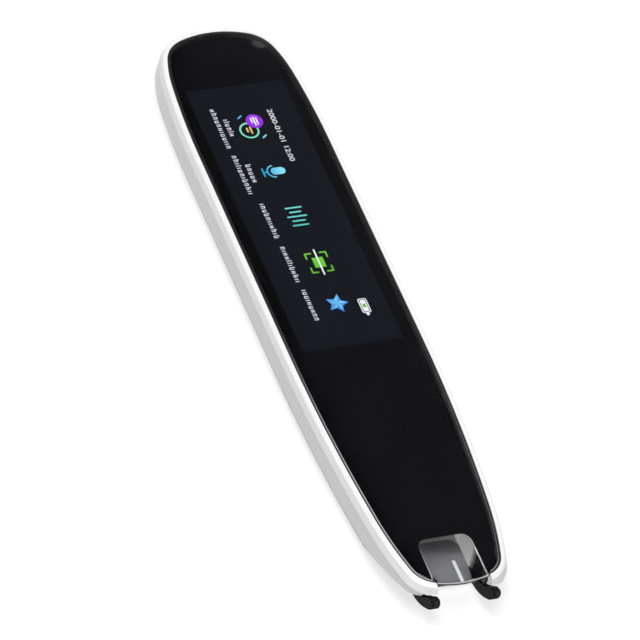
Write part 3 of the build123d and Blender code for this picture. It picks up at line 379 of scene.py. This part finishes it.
def add_group(tree, group, **values):
    """Places a shared group in a material with its own values, spaces in names written as _."""
    node = tree.nodes.new("ShaderNodeGroup")
    node.node_tree = group
    for key, value in values.items():
        node.inputs[key.replace("_", " ")].default_value = value
    return node


def new_material(name, **sockets):
    """A material with a Principled shader, whose plain sockets are set here."""
    material = bpy.data.materials.new(name)
    material.use_nodes = True
    shader = material.node_tree.nodes["Principled BSDF"]
    for key, value in sockets.items():
        shader.inputs[key.replace("_", " ")].default_value = value
    return material, material.node_tree, shader


def add_tones(tree, factor, target, dark, light):
    """Mixes two tones by a factor's socket and passes them to a target socket."""
    tone = add_node(tree, "ShaderNodeMix", data_type="RGBA")
    tone.inputs["A"].default_value = (*dark, 1.0)
    tone.inputs["B"].default_value = (*light, 1.0)
    tree.links.new(factor, tone.inputs["Factor"])
    tree.links.new(tone.outputs["Result"], target)


def add_marks(tree, shader, polish, smudge, hairline):
    """Puts handling marks into a shader's polish."""
    marks = add_group(tree, handling_group, Polish=polish, Smudge=smudge, Hairline=hairline)
    tree.links.new(marks.outputs["Roughness"], shader.inputs["Roughness"])


def add_relief(tree, shader, height, strength, depth):
    """Gives a shader relief from a height's socket; the depth is in millimetres."""
    relief = add_node(tree, "ShaderNodeBump", values={"Strength": strength, "Distance": depth * mm})
    tree.links.new(height, relief.inputs["Height"])
    tree.links.new(relief.outputs["Normal"], shader.inputs["Normal"])


def share_along(tree, axis, span, **settings):
    """A socket that goes from 0 to 1 over a span of one axis, in millimetres."""
    split = tree.nodes.new("ShaderNodeSeparateXYZ")
    share = add_node(tree, "ShaderNodeMapRange", **settings,
                     values={"From Min": span[0] * mm, "From Max": span[1] * mm})
    tree.links.new(object_place(tree), split.inputs[0])
    tree.links.new(split.outputs[axis], share.inputs["Value"])
    return share.outputs["Result"]


def moulded(name, dark, light, per_metre, bump, polish, smudge=0.08, hairline=0.0, **sockets):
    """A moulded or coated finish: two near tones, grain in the height, handling in the polish."""
    material, tree, shader = new_material(name, **sockets)
    grain = add_group(tree, grain_group, Per_Metre=per_metre)
    add_tones(tree, grain.outputs["Tone"], shader.inputs["Base Color"], dark, light)
    add_marks(tree, shader, polish, smudge, hairline)
    add_relief(tree, shader, grain.outputs["Height"], bump, 0.04)
    return material


def drawn(name, dark, light, polish):
    """Drawn or plated metal, a little darker along its grain."""
    material, tree, shader = new_material(name, Metallic=1.0)
    lines = add_group(tree, brushed_group, Polish=polish)
    add_tones(tree, lines.outputs["Height"], shader.inputs["Base Color"], dark, light)
    add_relief(tree, shader, lines.outputs["Height"], 0.3, 0.02)
    tree.links.new(lines.outputs["Roughness"], shader.inputs["Roughness"])
    return material


def make_glass():
    """Clear cover glass with faint handling marks; its low index stands for a coated front."""
    material, tree, shader = new_material("cover_glass_clear", Transmission_Weight=1.0, IOR=1.18)
    shader.inputs["Base Color"].default_value = (0.985, 0.99, 1.0, 1.0)
    add_marks(tree, shader, 0.0, 0.035, 0.03)
    return material


def make_display():
    """Dark display surface with fine columns of cells, faintly lit."""
    material, tree, shader = new_material("display_dark", Roughness=0.35, Specular_IOR_Level=0.0,
                                          Emission_Strength=1.0)
    cells = add_node(tree, "ShaderNodeTexWave", bands_direction="X",
                     values={"Scale": 1600.0, "Distortion": 0.0})
    tree.links.new(object_place(tree), cells.inputs["Vector"])
    add_tones(tree, cells.outputs["Fac"], shader.inputs["Emission Color"],
              (0.0048, 0.0062, 0.0100), (0.0062, 0.0078, 0.0120))
    add_tones(tree, cells.outputs["Fac"], shader.inputs["Base Color"],
              (0.0008, 0.0009, 0.0012), (0.0012, 0.0014, 0.0018))
    return material


def make_ink(name, low, high, axis="X", span=(-1.0, 1.0)):
    """Light of an icon: it drifts from one tone to another over a span of one axis."""
    material, tree, shader = new_material(name, Roughness=0.5, Specular_IOR_Level=0.0,
                                          Emission_Strength=1.0)
    shader.inputs["Base Color"].default_value = (0.01, 0.01, 0.012, 1.0)
    add_tones(tree, share_along(tree, axis, span), shader.inputs["Emission Color"], low, high)
    return material


def make_board():
    """Green solder mask with pale tracks under it."""
    material, tree, shader = new_material("board_mask", Coat_Weight=0.3)
    tracks = add_node(tree, "ShaderNodeTexBrick", offset=0.5, values={
        "Scale": 320.0, "Mortar Size": 0.03, "Brick Width": 1.4, "Row Height": 0.35,
        "Color1": (0.010, 0.085, 0.040, 1.0), "Color2": (0.014, 0.110, 0.050, 1.0),
        "Mortar": (0.030, 0.200, 0.095, 1.0)})
    tree.links.new(object_place(tree), tracks.inputs["Vector"])
    tree.links.new(tracks.outputs["Color"], shader.inputs["Base Color"])
    add_marks(tree, shader, 0.35, 0.1, 0.0)
    add_relief(tree, shader, tracks.outputs["Fac"], 0.3, 0.03)
    return material


def make_weave():
    """Woven speaker mesh: two sets of threads, with a painted highlight where they cross over."""
    material, tree, shader = new_material("speaker_weave", Roughness=0.6)
    place = object_place(tree)
    both = add_node(tree, "ShaderNodeMath", operation="MULTIPLY")
    for number, direction in enumerate(("X", "Y")):
        threads = add_node(tree, "ShaderNodeTexWave", bands_direction=direction,
                           values={"Scale": 900.0, "Distortion": 0.0})
        tree.links.new(place, threads.inputs["Vector"])
        tree.links.new(threads.outputs["Fac"], both.inputs[number])
    # painted highlight on the crossings: the product of the threads lifts the colour from near black to
    # grey
    add_tones(tree, both.outputs[0], shader.inputs["Base Color"], (0.012, 0.012, 0.013),
              (0.16, 0.16, 0.17))
    add_relief(tree, shader, both.outputs[0], 0.8, 0.05)
    return material


def make_guide_with_painted_glow():
    """Frosted light guide with a painted glow: its emission stands in for light falling into the chamber,
    brighter towards its back end by the lamps.
    """
    material, tree, shader = new_material("guide_frosted_painted_glow", Emission_Strength=1.0)
    grain = add_group(tree, grain_group, Per_Metre=5000.0, Tone_Low=0.55, Tone_High=0.62)
    tree.links.new(grain.outputs["Tone"], shader.inputs["Base Color"])
    # painted glow: emission in place of light reaching the guide, rising along the pen
    add_tones(tree, share_along(tree, "Y", [tip_y + behind for behind in guide_painted_glow]),
              shader.inputs["Emission Color"], (0.14, 0.136, 0.132), (0.26, 0.252, 0.244))
    add_marks(tree, shader, 0.35, 0.08, 0.0)
    add_relief(tree, shader, grain.outputs["Height"], 0.3, 0.04)
    return material


def make_bevel_highlight():
    """Fine bevel of the glass frame, with a painted highlight: light grey towards the nose, near black
    towards the tail.
    """
    material, tree, shader = new_material("bevel_painted_highlight")
    # painted highlight: the base colour goes from near black to light grey along the pen towards the nose
    add_tones(tree, share_along(tree, "Y", (2.0, -52.0), interpolation_type="SMOOTHSTEP"),
              shader.inputs["Base Color"], (0.016, 0.016, 0.017), (0.62, 0.62, 0.63))
    add_marks(tree, shader, 0.25, 0.15, 0.1)
    return material


finishes = {
    "shell_white": moulded("shell_gloss_white", (0.885, 0.885, 0.89), (0.91, 0.91, 0.915), 5000.0,
                           0.04, 0.16, hairline=0.03),
    "frame_black": moulded("frame_satin_black", (0.018, 0.018, 0.019), (0.026, 0.025, 0.025), 9000.0,
                           0.25, 0.30),
    "clear_glass": make_glass(),
    "black_print": moulded("print_black", (0.0030, 0.0034, 0.0052), (0.0036, 0.0040, 0.0060), 2600.0,
                           0.02, 0.5, Specular_IOR_Level=0.0),
    "white_print": moulded("print_white", (0.80, 0.80, 0.83), (0.86, 0.86, 0.88), 5000.0, 0.1, 0.4),
    "display": make_display(),
    "backlight": moulded("diffuser_sheet", (0.76, 0.76, 0.77), (0.82, 0.82, 0.82), 6000.0, 0.2, 0.5),
    "flex": moulded("polyimide_amber", (0.32, 0.13, 0.022), (0.42, 0.19, 0.035), 3000.0, 0.2, 0.35),
    "inner_frame": moulded("frame_grey", (0.085, 0.085, 0.09), (0.12, 0.12, 0.125), 5000.0, 0.5, 0.45),
    "steel": drawn("plated_steel", (0.48, 0.48, 0.49), (0.68, 0.68, 0.69), 0.24),
    "board_green": make_board(),
    "chip_black": moulded("chip_epoxy", (0.022, 0.022, 0.023), (0.035, 0.035, 0.036), 8000.0, 0.6, 0.55),
    "cell": moulded("cell_foil", (0.50, 0.51, 0.53), (0.60, 0.61, 0.63), 1500.0, 0.5, 0.32,
                    Metallic=0.6),
    "wire": moulded("wire_red", (0.40, 0.025, 0.02), (0.52, 0.04, 0.03), 6000.0, 0.2, 0.4),
    "mesh": make_weave(),
    "shoe_black": moulded("shoe_satin_black", (0.0075, 0.008, 0.0095), (0.011, 0.0115, 0.014), 9000.0,
                          0.35, 0.50, Specular_IOR_Level=0.06),
    "roller_rubber": moulded("roller_rubber", (0.016, 0.016, 0.018), (0.030, 0.030, 0.034), 9000.0,
                             0.9, 0.6, Specular_IOR_Level=0.25),
    "chamber_grey": moulded("chamber_light_grey", (0.60, 0.59, 0.575), (0.66, 0.65, 0.635), 6000.0,
                            0.4, 0.5),
    "floor_grey": moulded("chamber_floor_grey", (0.18, 0.18, 0.195), (0.215, 0.215, 0.23), 6000.0,
                          0.5, 0.6),
    # the guide's finish carries a painted glow
    "guide_pale": make_guide_with_painted_glow(),
    "lamp": moulded("lamp_lens", (0.86, 0.80, 0.52), (0.94, 0.90, 0.66), 4000.0, 0.1, 0.2),
    "barrel_black": moulded("barrel_matt_black", (0.015, 0.015, 0.015), (0.025, 0.025, 0.025), 8000.0,
                            0.6, 0.5),
}

# the bevel's colour is a painted highlight
bevel_highlight_finish = make_bevel_highlight()
edge_finish = moulded("ground_glass_edge", (0.50, 0.51, 0.52), (0.60, 0.61, 0.62), 9000.0, 0.2, 0.3)

inks = {
    "white": make_ink("ink_white", (0.86, 0.88, 0.92), (0.90, 0.92, 0.95)),
    "purple": make_ink("ink_purple", (0.30, 0.02, 0.78), (0.42, 0.035, 0.86), "Y", (49.5, 53.3)),
    "mint": make_ink("ink_mint", (0.20, 0.74, 0.52), (0.34, 0.80, 0.62), "Y", (47.0, 51.2)),
    "cyan": make_ink("ink_cyan", (0.10, 0.42, 0.72), (0.26, 0.62, 0.86)),
    "yellow": make_ink("ink_yellow", (0.72, 0.52, 0.13), (0.86, 0.72, 0.28), "Y", (48.0, 50.2)),
    "sky": make_ink("ink_sky", (0.02, 0.40, 0.70), (0.24, 0.74, 0.90), "X", (-1.8, 1.8)),
    "teal": make_ink("ink_teal", (0.07, 0.58, 0.55), (0.20, 0.78, 0.70), "Y", (20.0, 28.0)),
    "green": make_ink("ink_green", (0.10, 0.50, 0.02), (0.20, 0.66, 0.04), "Y", (7.0, 15.5)),
    "blue": make_ink("ink_blue", (0.03, 0.20, 0.80), (0.10, 0.46, 0.95), "Y", (-2.5, 2.0)),
}

# Each CAD solid's plain material bears the name of its slot
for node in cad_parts.values():
    for number, old in enumerate(node.data.materials):
        node.data.materials[number] = finishes[old.name.split(".")[0]]


# Glass, bead and bevel


def glass_outline_shift():
    """How far the glass's outline lies outside the opening: inside it, but out to it at the tongue."""
    on_nose = plan[:, 1] < 0.0
    off_tongue = smooth_step(np.abs(plan[:, 0]), tongue_half_width - tongue_blend, tongue_half_width)
    return np.where(on_nose, -glass_inset * off_tongue, -glass_inset)


def make_cover_glass():
    """Glass with a long curved edge: a quarter of a superellipse from its side up to its top.

    Each ring is the plan moved outwards by its shift less the profile's inset, at the profile's
    height. The first and last rings are drawn in to the centre line, which closes the plate.
    """
    turns = np.radians(np.linspace(0.0, 90.0, glass_curve_points))
    power = 2.0 / glass_curve_power
    insets = glass_curve_width * (1.0 - np.cos(turns) ** power)
    heights = lip_z - glass_curve_drop * (1.0 - np.sin(turns) ** power)
    profile = [(glass_foot, glass_bottom, draw) for draw in (1.0, 0.5, 0.0)]
    profile += [(0.0, glass_bottom + glass_foot, 0.0)]
    profile += [(inset, height, 0.0) for inset, height in zip(insets, heights)]
    profile += [(glass_curve_width, lip_z, draw) for draw in (0.04, 0.5, 1.0)]
    low, high = plan[:, 1].min() + opening_half_width, plan[:, 1].max() - opening_half_width
    spine = np.stack((np.zeros(len(plan)), np.clip(plan[:, 1], low, high)), axis=1)
    shift = glass_outline_shift()
    rings = []
    for inset, height, draw in profile:
        flat = plan + plan_out * (shift - inset)[:, None]
        flat = flat + (spine - flat) * draw
        rings.append(np.column_stack((flat, np.full(len(flat), height))))
    plate = add_mesh("cover_plate", np.concatenate(rings), grid_faces(len(rings), len(plan)),
                     finishes["clear_glass"], smooth=True)
    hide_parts("cover_glass")


def make_frame_edge():
    """Bead and bevel along the top of the glass frame, both open at the nose.

    The bead's section is a circle: its middle plus its radius times the cosine and sine of a turn.
    """
    beyond = (plan[:, 1] > tip_y + nose_reach) | (np.abs(plan[:, 0]) > tongue_half_width + bead_radius)
    turns = np.linspace(0.0, 2 * math.pi, bead_sides, endpoint=False)
    circle = np.column_stack((bead_radius * np.cos(turns) - bead_inset,
                              bead_radius * np.sin(turns) + bead_middle_z))
    order = run_of_plan(beyond)
    strip_along_plan("frame_bead", order, circle, finishes["frame_black"], smooth=True)
    # the bevel carries a painted highlight in its colour
    strip_along_plan("frame_bevel", order, bevel_section, bevel_highlight_finish)


# Nose window: what lies round it and shows through it


def make_chamber_floor():
    """Floor panel of the scan chamber: narrow between the toes, with two rounded back corners."""
    turns = np.linspace(0.0, math.pi / 2, points_on_corner)
    corner = np.column_stack((floor_half_width + floor_corner * (np.cos(turns) - 1.0),
                              floor_back + floor_corner * (np.sin(turns) - 1.0)))
    front = ((floor_nose_half_width, floor_front), (floor_nose_half_width, floor_step[0]),
             (floor_half_width, floor_step[1]))
    right = np.concatenate((front, corner))
    loop = np.concatenate((right, right[::-1] * (-1.0, 1.0)))
    panel = flat_plate("floor_panel", loop, tip_y, floor_bottom_z, floor_top_z, finishes["floor_grey"])
    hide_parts("chamber_floor")


def make_chamber_cove():
    """Cove at the foot of the chamber's rear wall.

    Across, the front edge follows the floor panel's rounded corners; up, it is a quarter of a
    circle that leaves the panel level and meets the wall upright.
    """
    across = np.linspace(-cove_half_width, cove_half_width, points_across)
    turns = np.linspace(0.0, math.pi / 2, points_on_corner)
    into_corner = np.maximum(np.abs(across) - (floor_half_width - floor_corner), 0.0) / floor_corner
    front = floor_back - floor_corner * (1.0 - np.sqrt(np.maximum(1.0 - into_corner ** 2, 0.0)))
    y = front[None, :] + (cove_wall - front)[None, :] * np.sin(turns)[:, None]
    z = floor_top_z - cove_sink + cove_rise * (1.0 - np.cos(turns))[:, None] * np.ones_like(y)
    x = np.broadcast_to(across, y.shape)
    sheet = np.stack((x, y + tip_y, z), axis=-1).reshape(-1, 3)
    under = sheet.copy()
    under[:, 2] = cove_bottom_z
    rows, count = y.shape
    top = grid_faces(rows, count, close_columns=False)
    bottom = top[:, ::-1] + rows * count
    rim = np.concatenate((np.arange(count), np.arange(1, rows) * count + count - 1,
                          (rows - 1) * count + np.arange(count - 2, -1, -1),
                          np.arange(rows - 2, 0, -1) * count))
    after = np.roll(rim, -1)
    sides = np.stack((rim, rim + rows * count, after + rows * count, after), axis=-1)
    add_mesh("chamber_cove", np.concatenate((sheet, under)), [*top, *bottom, *sides],
             finishes["chamber_grey"], smooth=True)


def make_window_edges():
    """White edges of the prongs beside the window, and the ground front edge of the glass."""
    for side, name in ((-1.0, "left"), (1.0, "right")):
        loop = np.array(((trim_inner, trim_front), (trim_outer, trim_front), (trim_outer, trim_back),
                         (trim_inner, trim_back))) * (side, 1.0)
        flat_plate(f"{name}_window_edge", loop, tip_y, trim_low, trim_high, finishes["shell_white"])
    on_nose = (plan[:, 1] < 0.0) & (np.abs(plan[:, 0]) < tongue_half_width - tongue_blend)
    section = ((edge_outside, edge_low), (edge_outside, edge_high), (edge_inside, edge_high + edge_slope),
               (edge_inside, edge_low))
    strip_along_plan("glass_front_edge", run_of_plan(on_nose), section, edge_finish)


# Icons on the display, in millimetres from its middle: x across the pen, y along it


def slab_from_loop(name, loop, ink, lift=0.0):
    """A thin flat shape on the display from one closed loop of points."""
    low = screen_z + lift
    return flat_plate(name, loop, display_y, low, low + ink_thickness, ink)


def band_from_loops(name, outer, inner, ink, lift=0.0):
    """A thin flat ring between two loops with the same number of points."""
    count = len(outer)
    low = screen_z + lift
    high = low + ink_thickness
    rows = [np.column_stack((loop[:, 0], loop[:, 1] + display_y, np.full(count, height)))
            for loop, height in ((outer, low), (outer, high), (inner, high), (inner, low))]
    faces = grid_faces(4, count, close_rows=True)
    return add_mesh(name, np.concatenate(rows), faces, ink)


def round_loop(centre, radius, count=40):
    """Points on a circle."""
    turns = np.linspace(0.0, 2 * math.pi, count, endpoint=False)
    return np.column_stack((centre[0] + radius * np.cos(turns), centre[1] + radius * np.sin(turns)))


def bar_loop(start, stop, width, count=8):
    """Points round a straight bar with round ends."""
    start, stop = np.asarray(start, float), np.asarray(stop, float)
    along = math.atan2(stop[1] - start[1], stop[0] - start[0])
    turns = np.linspace(-math.pi / 2, math.pi / 2, count)
    loops = []
    for middle, facing in ((stop, along), (start, along + math.pi)):
        loops.append(np.column_stack((middle[0] + width / 2 * np.cos(facing + turns),
                                      middle[1] + width / 2 * np.sin(facing + turns))))
    return np.concatenate(loops)


def draw_words(name, x, start_y, end_y, seed):
    """A generic word: fine strokes of two heights, many of them joined in pairs by a level one."""
    chance = np.random.default_rng(seed)
    stroke = stroke_share * caption_height
    foot = x - foot_share * caption_height
    low = low_share * caption_height
    y = start_y
    number = 0
    while y > end_y + stroke:
        reach = tall_share * caption_height if chance.random() < tall_chance else low
        loops = [bar_loop((foot, y), (foot + reach, y), stroke, caption_points)]
        inner = y - pair_share * caption_height
        if chance.random() < pair_chance and inner > end_y:
            level = foot + low * float(chance.integers(0, 3)) / 2
            loops.append(bar_loop((foot, inner), (foot + low, inner), stroke, caption_points))
            loops.append(bar_loop((level, y), (level, inner), stroke, caption_points))
            y = inner
        for loop in loops:
            slab_from_loop(f"{name}_{number}", loop, inks["white"], lift=crossing_step / 2 * (number % 3))
            number += 1
        y -= pitch_share * caption_height


def draw_clock():
    """Plain numerals of a clock, read along the pen."""
    data = bpy.data.curves.new("clock_numerals", "FONT")
    data.body = "2000-01-01 12:00"
    data.size = clock_size
    data.extrude = ink_thickness / 2
    data.align_x = "CENTER"
    data.align_y = "CENTER"
    text = bpy.data.objects.new("clock_numerals", data)
    bpy.context.scene.collection.objects.link(text)
    bpy.context.view_layer.update()
    mesh = bpy.data.meshes.new_from_object(text.evaluated_get(bpy.context.evaluated_depsgraph_get()))
    bpy.data.objects.remove(text)
    points = np.zeros(len(mesh.vertices) * 3)
    mesh.vertices.foreach_get("co", points)
    points = points.reshape(-1, 3)
    wide, tall = np.ptp(points[:, 0]), np.ptp(points[:, 1])
    placed = np.column_stack((clock_middle[0] + points[:, 1] * (clock_tall / tall),
                              display_y + clock_middle[1] - points[:, 0] * (clock_long / wide),
                              screen_z + ink_thickness / 2 + points[:, 2]))
    faces = [tuple(face.vertices) for face in mesh.polygons]
    bpy.data.meshes.remove(mesh)
    add_mesh("clock_numerals", placed, faces, inks["white"])


def draw_languages():
    """Disc and ring that overlap, with strokes on both and two sparks: the sign for two languages."""
    disc, ring = (0.87, 25.8), (-1.15, 23.5)
    slab_from_loop("sign_disc", round_loop(disc, 1.9), inks["purple"], lift=ink_step)
    disc_marks = (((1.45, 26.7), (1.45, 24.9)), ((0.85, 26.9), (0.85, 24.7)),
                  ((0.25, 26.7), (0.25, 25.5)))
    for number, (start, stop) in enumerate(disc_marks):
        slab_from_loop(f"sign_disc_mark_{number}", bar_loop(start, stop, 0.34), inks["white"],
                       lift=2 * ink_step)
    band_from_loops("sign_ring", round_loop(ring, 2.2), round_loop(ring, 1.8), inks["mint"])
    ring_marks = (((-0.75, 24.3), (-0.75, 22.7)), ((-1.55, 24.1), (-1.55, 23.2)))
    for number, (start, stop) in enumerate(ring_marks):
        slab_from_loop(f"sign_ring_mark_{number}", bar_loop(start, stop, 0.42), inks["yellow"],
                       lift=2 * crossing_step * (number + 1))
    reach = 0.55 * np.array((math.cos(0.6), math.sin(0.6)))
    for number, middle in enumerate(np.array(((-2.0, 27.4), (1.6, 21.4)))):
        slab_from_loop(f"sign_spark_{number}", bar_loop(middle - reach, middle + reach, icon_stroke),
                       inks["cyan"])


def draw_microphone():
    """Capsule in a half-round cradle on a short foot."""
    y = 11.7
    slab_from_loop("voice_capsule", bar_loop((0.35, y), (1.75, y), 1.9, 14), inks["sky"])
    turns = np.linspace(math.pi / 2, 3 * math.pi / 2, 20)
    arc = np.column_stack((np.cos(turns), np.sin(turns)))
    cradle = np.concatenate((1.75 * arc, 1.4 * arc[::-1])) + (0.2, y)
    slab_from_loop("voice_cradle", cradle, inks["sky"], lift=crossing_step)
    slab_from_loop("voice_stem", bar_loop((-1.5, y), (-2.2, y), icon_stroke), inks["sky"],
                   lift=2 * crossing_step)
    slab_from_loop("voice_foot", bar_loop((-2.3, y + 1.0), (-2.3, y - 1.0), icon_stroke), inks["sky"],
                   lift=3 * crossing_step)


def draw_recording():
    """Five bars of different lengths."""
    x, middle_y, pitch = 0.62, -1.0, 1.2
    for number, half in enumerate((1.75, 1.2, 2.1, 1.35, 1.7)):
        y = middle_y + (2 - number) * pitch
        slab_from_loop(f"record_bar_{number}", bar_loop((x - half, y), (x + half, y), 0.38), inks["teal"])


def draw_lookup():
    """Four corner brackets round a square with a line across it."""
    middle = np.array((0.78, -13.8))
    for number, (side, end) in enumerate(((1, 1), (1, -1), (-1, 1), (-1, -1))):
        corner = middle + np.array((side * 2.35, end * 2.55))
        for part, reach in enumerate(((-side * 1.3, 0.0), (0.0, -end * 1.3))):
            slab_from_loop(f"lookup_corner_{number}_{part}",
                           bar_loop(corner, corner + np.array(reach), icon_stroke), inks["green"],
                           lift=crossing_step * part)
    square = middle + np.array(((1.25, 1.35), (-1.25, 1.35), (-1.25, -1.35), (1.25, -1.35)))
    slab_from_loop("lookup_square", square, inks["green"])
    slab_from_loop("lookup_line", bar_loop((0.8, -10.4), (0.8, -17.1), icon_stroke), inks["white"],
                   lift=ink_step)


def draw_star():
    """Five-pointed star: the radius swaps between two values round the circle.

    A paler facet lies on one side of each point.
    """
    middle = np.array((0.58, -25.1))
    point_radius, dip_radius, facet_share = 2.55, 1.25, 0.8
    turns = np.arange(10) * math.pi / 5
    radius = np.where(np.arange(10) % 2 == 0, point_radius, dip_radius)
    loop = middle + np.column_stack((radius * np.cos(turns), radius * np.sin(turns)))
    slab_from_loop("favourite_star", loop, inks["blue"])
    for number in range(5):
        facet = np.array((middle, loop[2 * number], loop[2 * number + 1]))
        slab_from_loop(f"favourite_facet_{number}", middle + facet_share * (facet - middle),
                       inks["cyan"], lift=ink_step)


def rounded_box(middle, half, corner, count=6):
    """Points round a rectangle with rounded corners."""
    loops = []
    for number, (side, end) in enumerate(((1, 1), (-1, 1), (-1, -1), (1, -1))):
        turns = np.linspace(0, math.pi / 2, count) + number * math.pi / 2
        centre = (middle[0] + side * (half[0] - corner), middle[1] + end * (half[1] - corner))
        loops.append(np.column_stack((centre[0] + corner * np.cos(turns),
                                      centre[1] + corner * np.sin(turns))))
    return np.concatenate(loops)


def draw_battery():
    """Outlined cell with its charge and a small cap."""
    middle = (6.2, -26.6)
    band_from_loops("charge_outline", rounded_box(middle, (1.0, 1.9), 0.4),
                    rounded_box(middle, (0.78, 1.68), 0.22), inks["white"])
    slab_from_loop("charge_fill", rounded_box(middle, (0.6, 1.5), 0.15), inks["white"])
    slab_from_loop("charge_mark", rounded_box(middle, (0.32, 0.5), 0.12), inks["green"], lift=ink_step)
    slab_from_loop("charge_cap", bar_loop((6.2, -28.75), (6.2, -28.9), 0.7), inks["white"])


def draw_display():
    """Everything on the display."""
    draw_clock()
    draw_languages()
    draw_microphone()
    draw_recording()
    draw_lookup()
    draw_star()
    draw_battery()
    captions = ((-5.35, 27.1, 22.4), (-7.3, 30.3, 19.3), (-5.0, 14.3, 9.1), (-7.1, 17.1, 6.3),
                (-5.8, 3.4, -6.15), (-5.6, -8.6, -18.3), (-5.25, -20.5, -29.3))
    for number, (x, start_y, end_y) in enumerate(captions):
        draw_words(f"caption_{number}", x, start_y, end_y, seed=number + 1)


# Camera, light and floor


def direction(azimuth, elevation):
    """Unit vector at two angles in radians; the azimuth is counted from the nose towards +X."""
    return Vector((math.sin(azimuth) * math.cos(elevation), -math.cos(azimuth) * math.cos(elevation),
                   math.sin(elevation)))


def make_camera():
    """Camera at the photograph's angle: a long lens above the left of the nose, rolled."""
    azimuth, elevation, roll = (math.radians(angle) for angle in camera_angles)
    back = direction(azimuth, elevation)
    right = Vector((math.cos(azimuth), math.sin(azimuth), 0.0))
    up = back.cross(right)
    turned_right = right * math.cos(roll) + up * math.sin(roll)
    turned_up = back.cross(turned_right)
    data = bpy.data.cameras.new("camera")
    data.lens = camera_lens
    data.sensor_width = 36.0
    data.clip_start, data.clip_end = 0.01, 100.0
    camera = bpy.data.objects.new("camera", data)
    bpy.context.scene.collection.objects.link(camera)
    turn = Matrix((turned_right, turned_up, back)).transposed().to_4x4()
    camera.matrix_world = Matrix.Translation(Vector(camera_aim) + back * camera_distance) @ turn
    bpy.context.scene.camera = camera


def add_sun(name, azimuth, elevation, strength, spread):
    """A soft, even light from one direction, with its angles in degrees."""
    data = bpy.data.lights.new(name, "SUN")
    data.energy = strength
    data.angle = math.radians(spread)
    lamp = bpy.data.objects.new(name, data)
    towards = direction(math.radians(azimuth), math.radians(elevation))
    lamp.rotation_euler = towards.to_track_quat("Z", "Y").to_euler()
    bpy.context.scene.collection.objects.link(lamp)


def make_world():
    """Plain studio: paler overhead and behind the camera, dimmer on the far side."""
    world = bpy.data.worlds.new("studio")
    bpy.context.scene.world = world
    world.use_nodes = True
    tree = world.node_tree
    place = tree.nodes.new("ShaderNodeTexCoord")
    towards = add_node(tree, "ShaderNodeVectorMath", operation="DOT_PRODUCT")
    towards.inputs[1].default_value = studio_bright_side
    share = add_node(tree, "ShaderNodeMapRange", values={"From Min": 0.2, "From Max": 0.95})
    tree.links.new(place.outputs["Generated"], towards.inputs[0])
    tree.links.new(towards.outputs["Value"], share.inputs["Value"])
    add_tones(tree, share.outputs["Result"], tree.nodes["Background"].inputs["Color"], *studio_tones)


def make_floor():
    """Plain white floor; what the camera and gloss see of it is lifted to white, with its shadows."""
    mesh = bpy.data.meshes.new("floor")
    corners = [(x * floor_reach, y * floor_reach, 0.0) for x, y in ((-1, -1), (1, -1), (1, 1), (-1, 1))]
    mesh.from_pydata(corners, [], [(0, 1, 2, 3)])
    floor = bpy.data.objects.new("floor", mesh)
    bpy.context.scene.collection.objects.link(floor)
    material, tree, shader = new_material("floor_white", Roughness=0.9, Specular_IOR_Level=0.0)
    shader.inputs["Base Color"].default_value = (floor_base, floor_base, floor_base, 1.0)
    shader.inputs["Emission Color"].default_value = (floor_seen, floor_seen, floor_seen, 1.0)
    rays = tree.nodes.new("ShaderNodeLightPath")
    first = add_node(tree, "ShaderNodeMath", operation="MAXIMUM")
    second = add_node(tree, "ShaderNodeMath", operation="MAXIMUM")
    tree.links.new(rays.outputs["Is Camera Ray"], first.inputs[0])
    tree.links.new(rays.outputs["Is Glossy Ray"], first.inputs[1])
    tree.links.new(first.outputs[0], second.inputs[0])
    tree.links.new(rays.outputs["Is Transmission Ray"], second.inputs[1])
    tree.links.new(second.outputs[0], shader.inputs["Emission Strength"])
    mesh.materials.append(material)


make_camera()
add_sun("key", azimuth=-75.0, elevation=73.0, strength=2.4, spread=30.0)
add_sun("fill", azimuth=60.0, elevation=35.0, strength=0.15, spread=40.0)
make_world()
make_floor()
make_cover_glass()
make_frame_edge()
make_chamber_floor()
make_chamber_cove()
make_window_edges()
draw_display()

bpy.context.scene.view_settings.view_transform = "Standard"
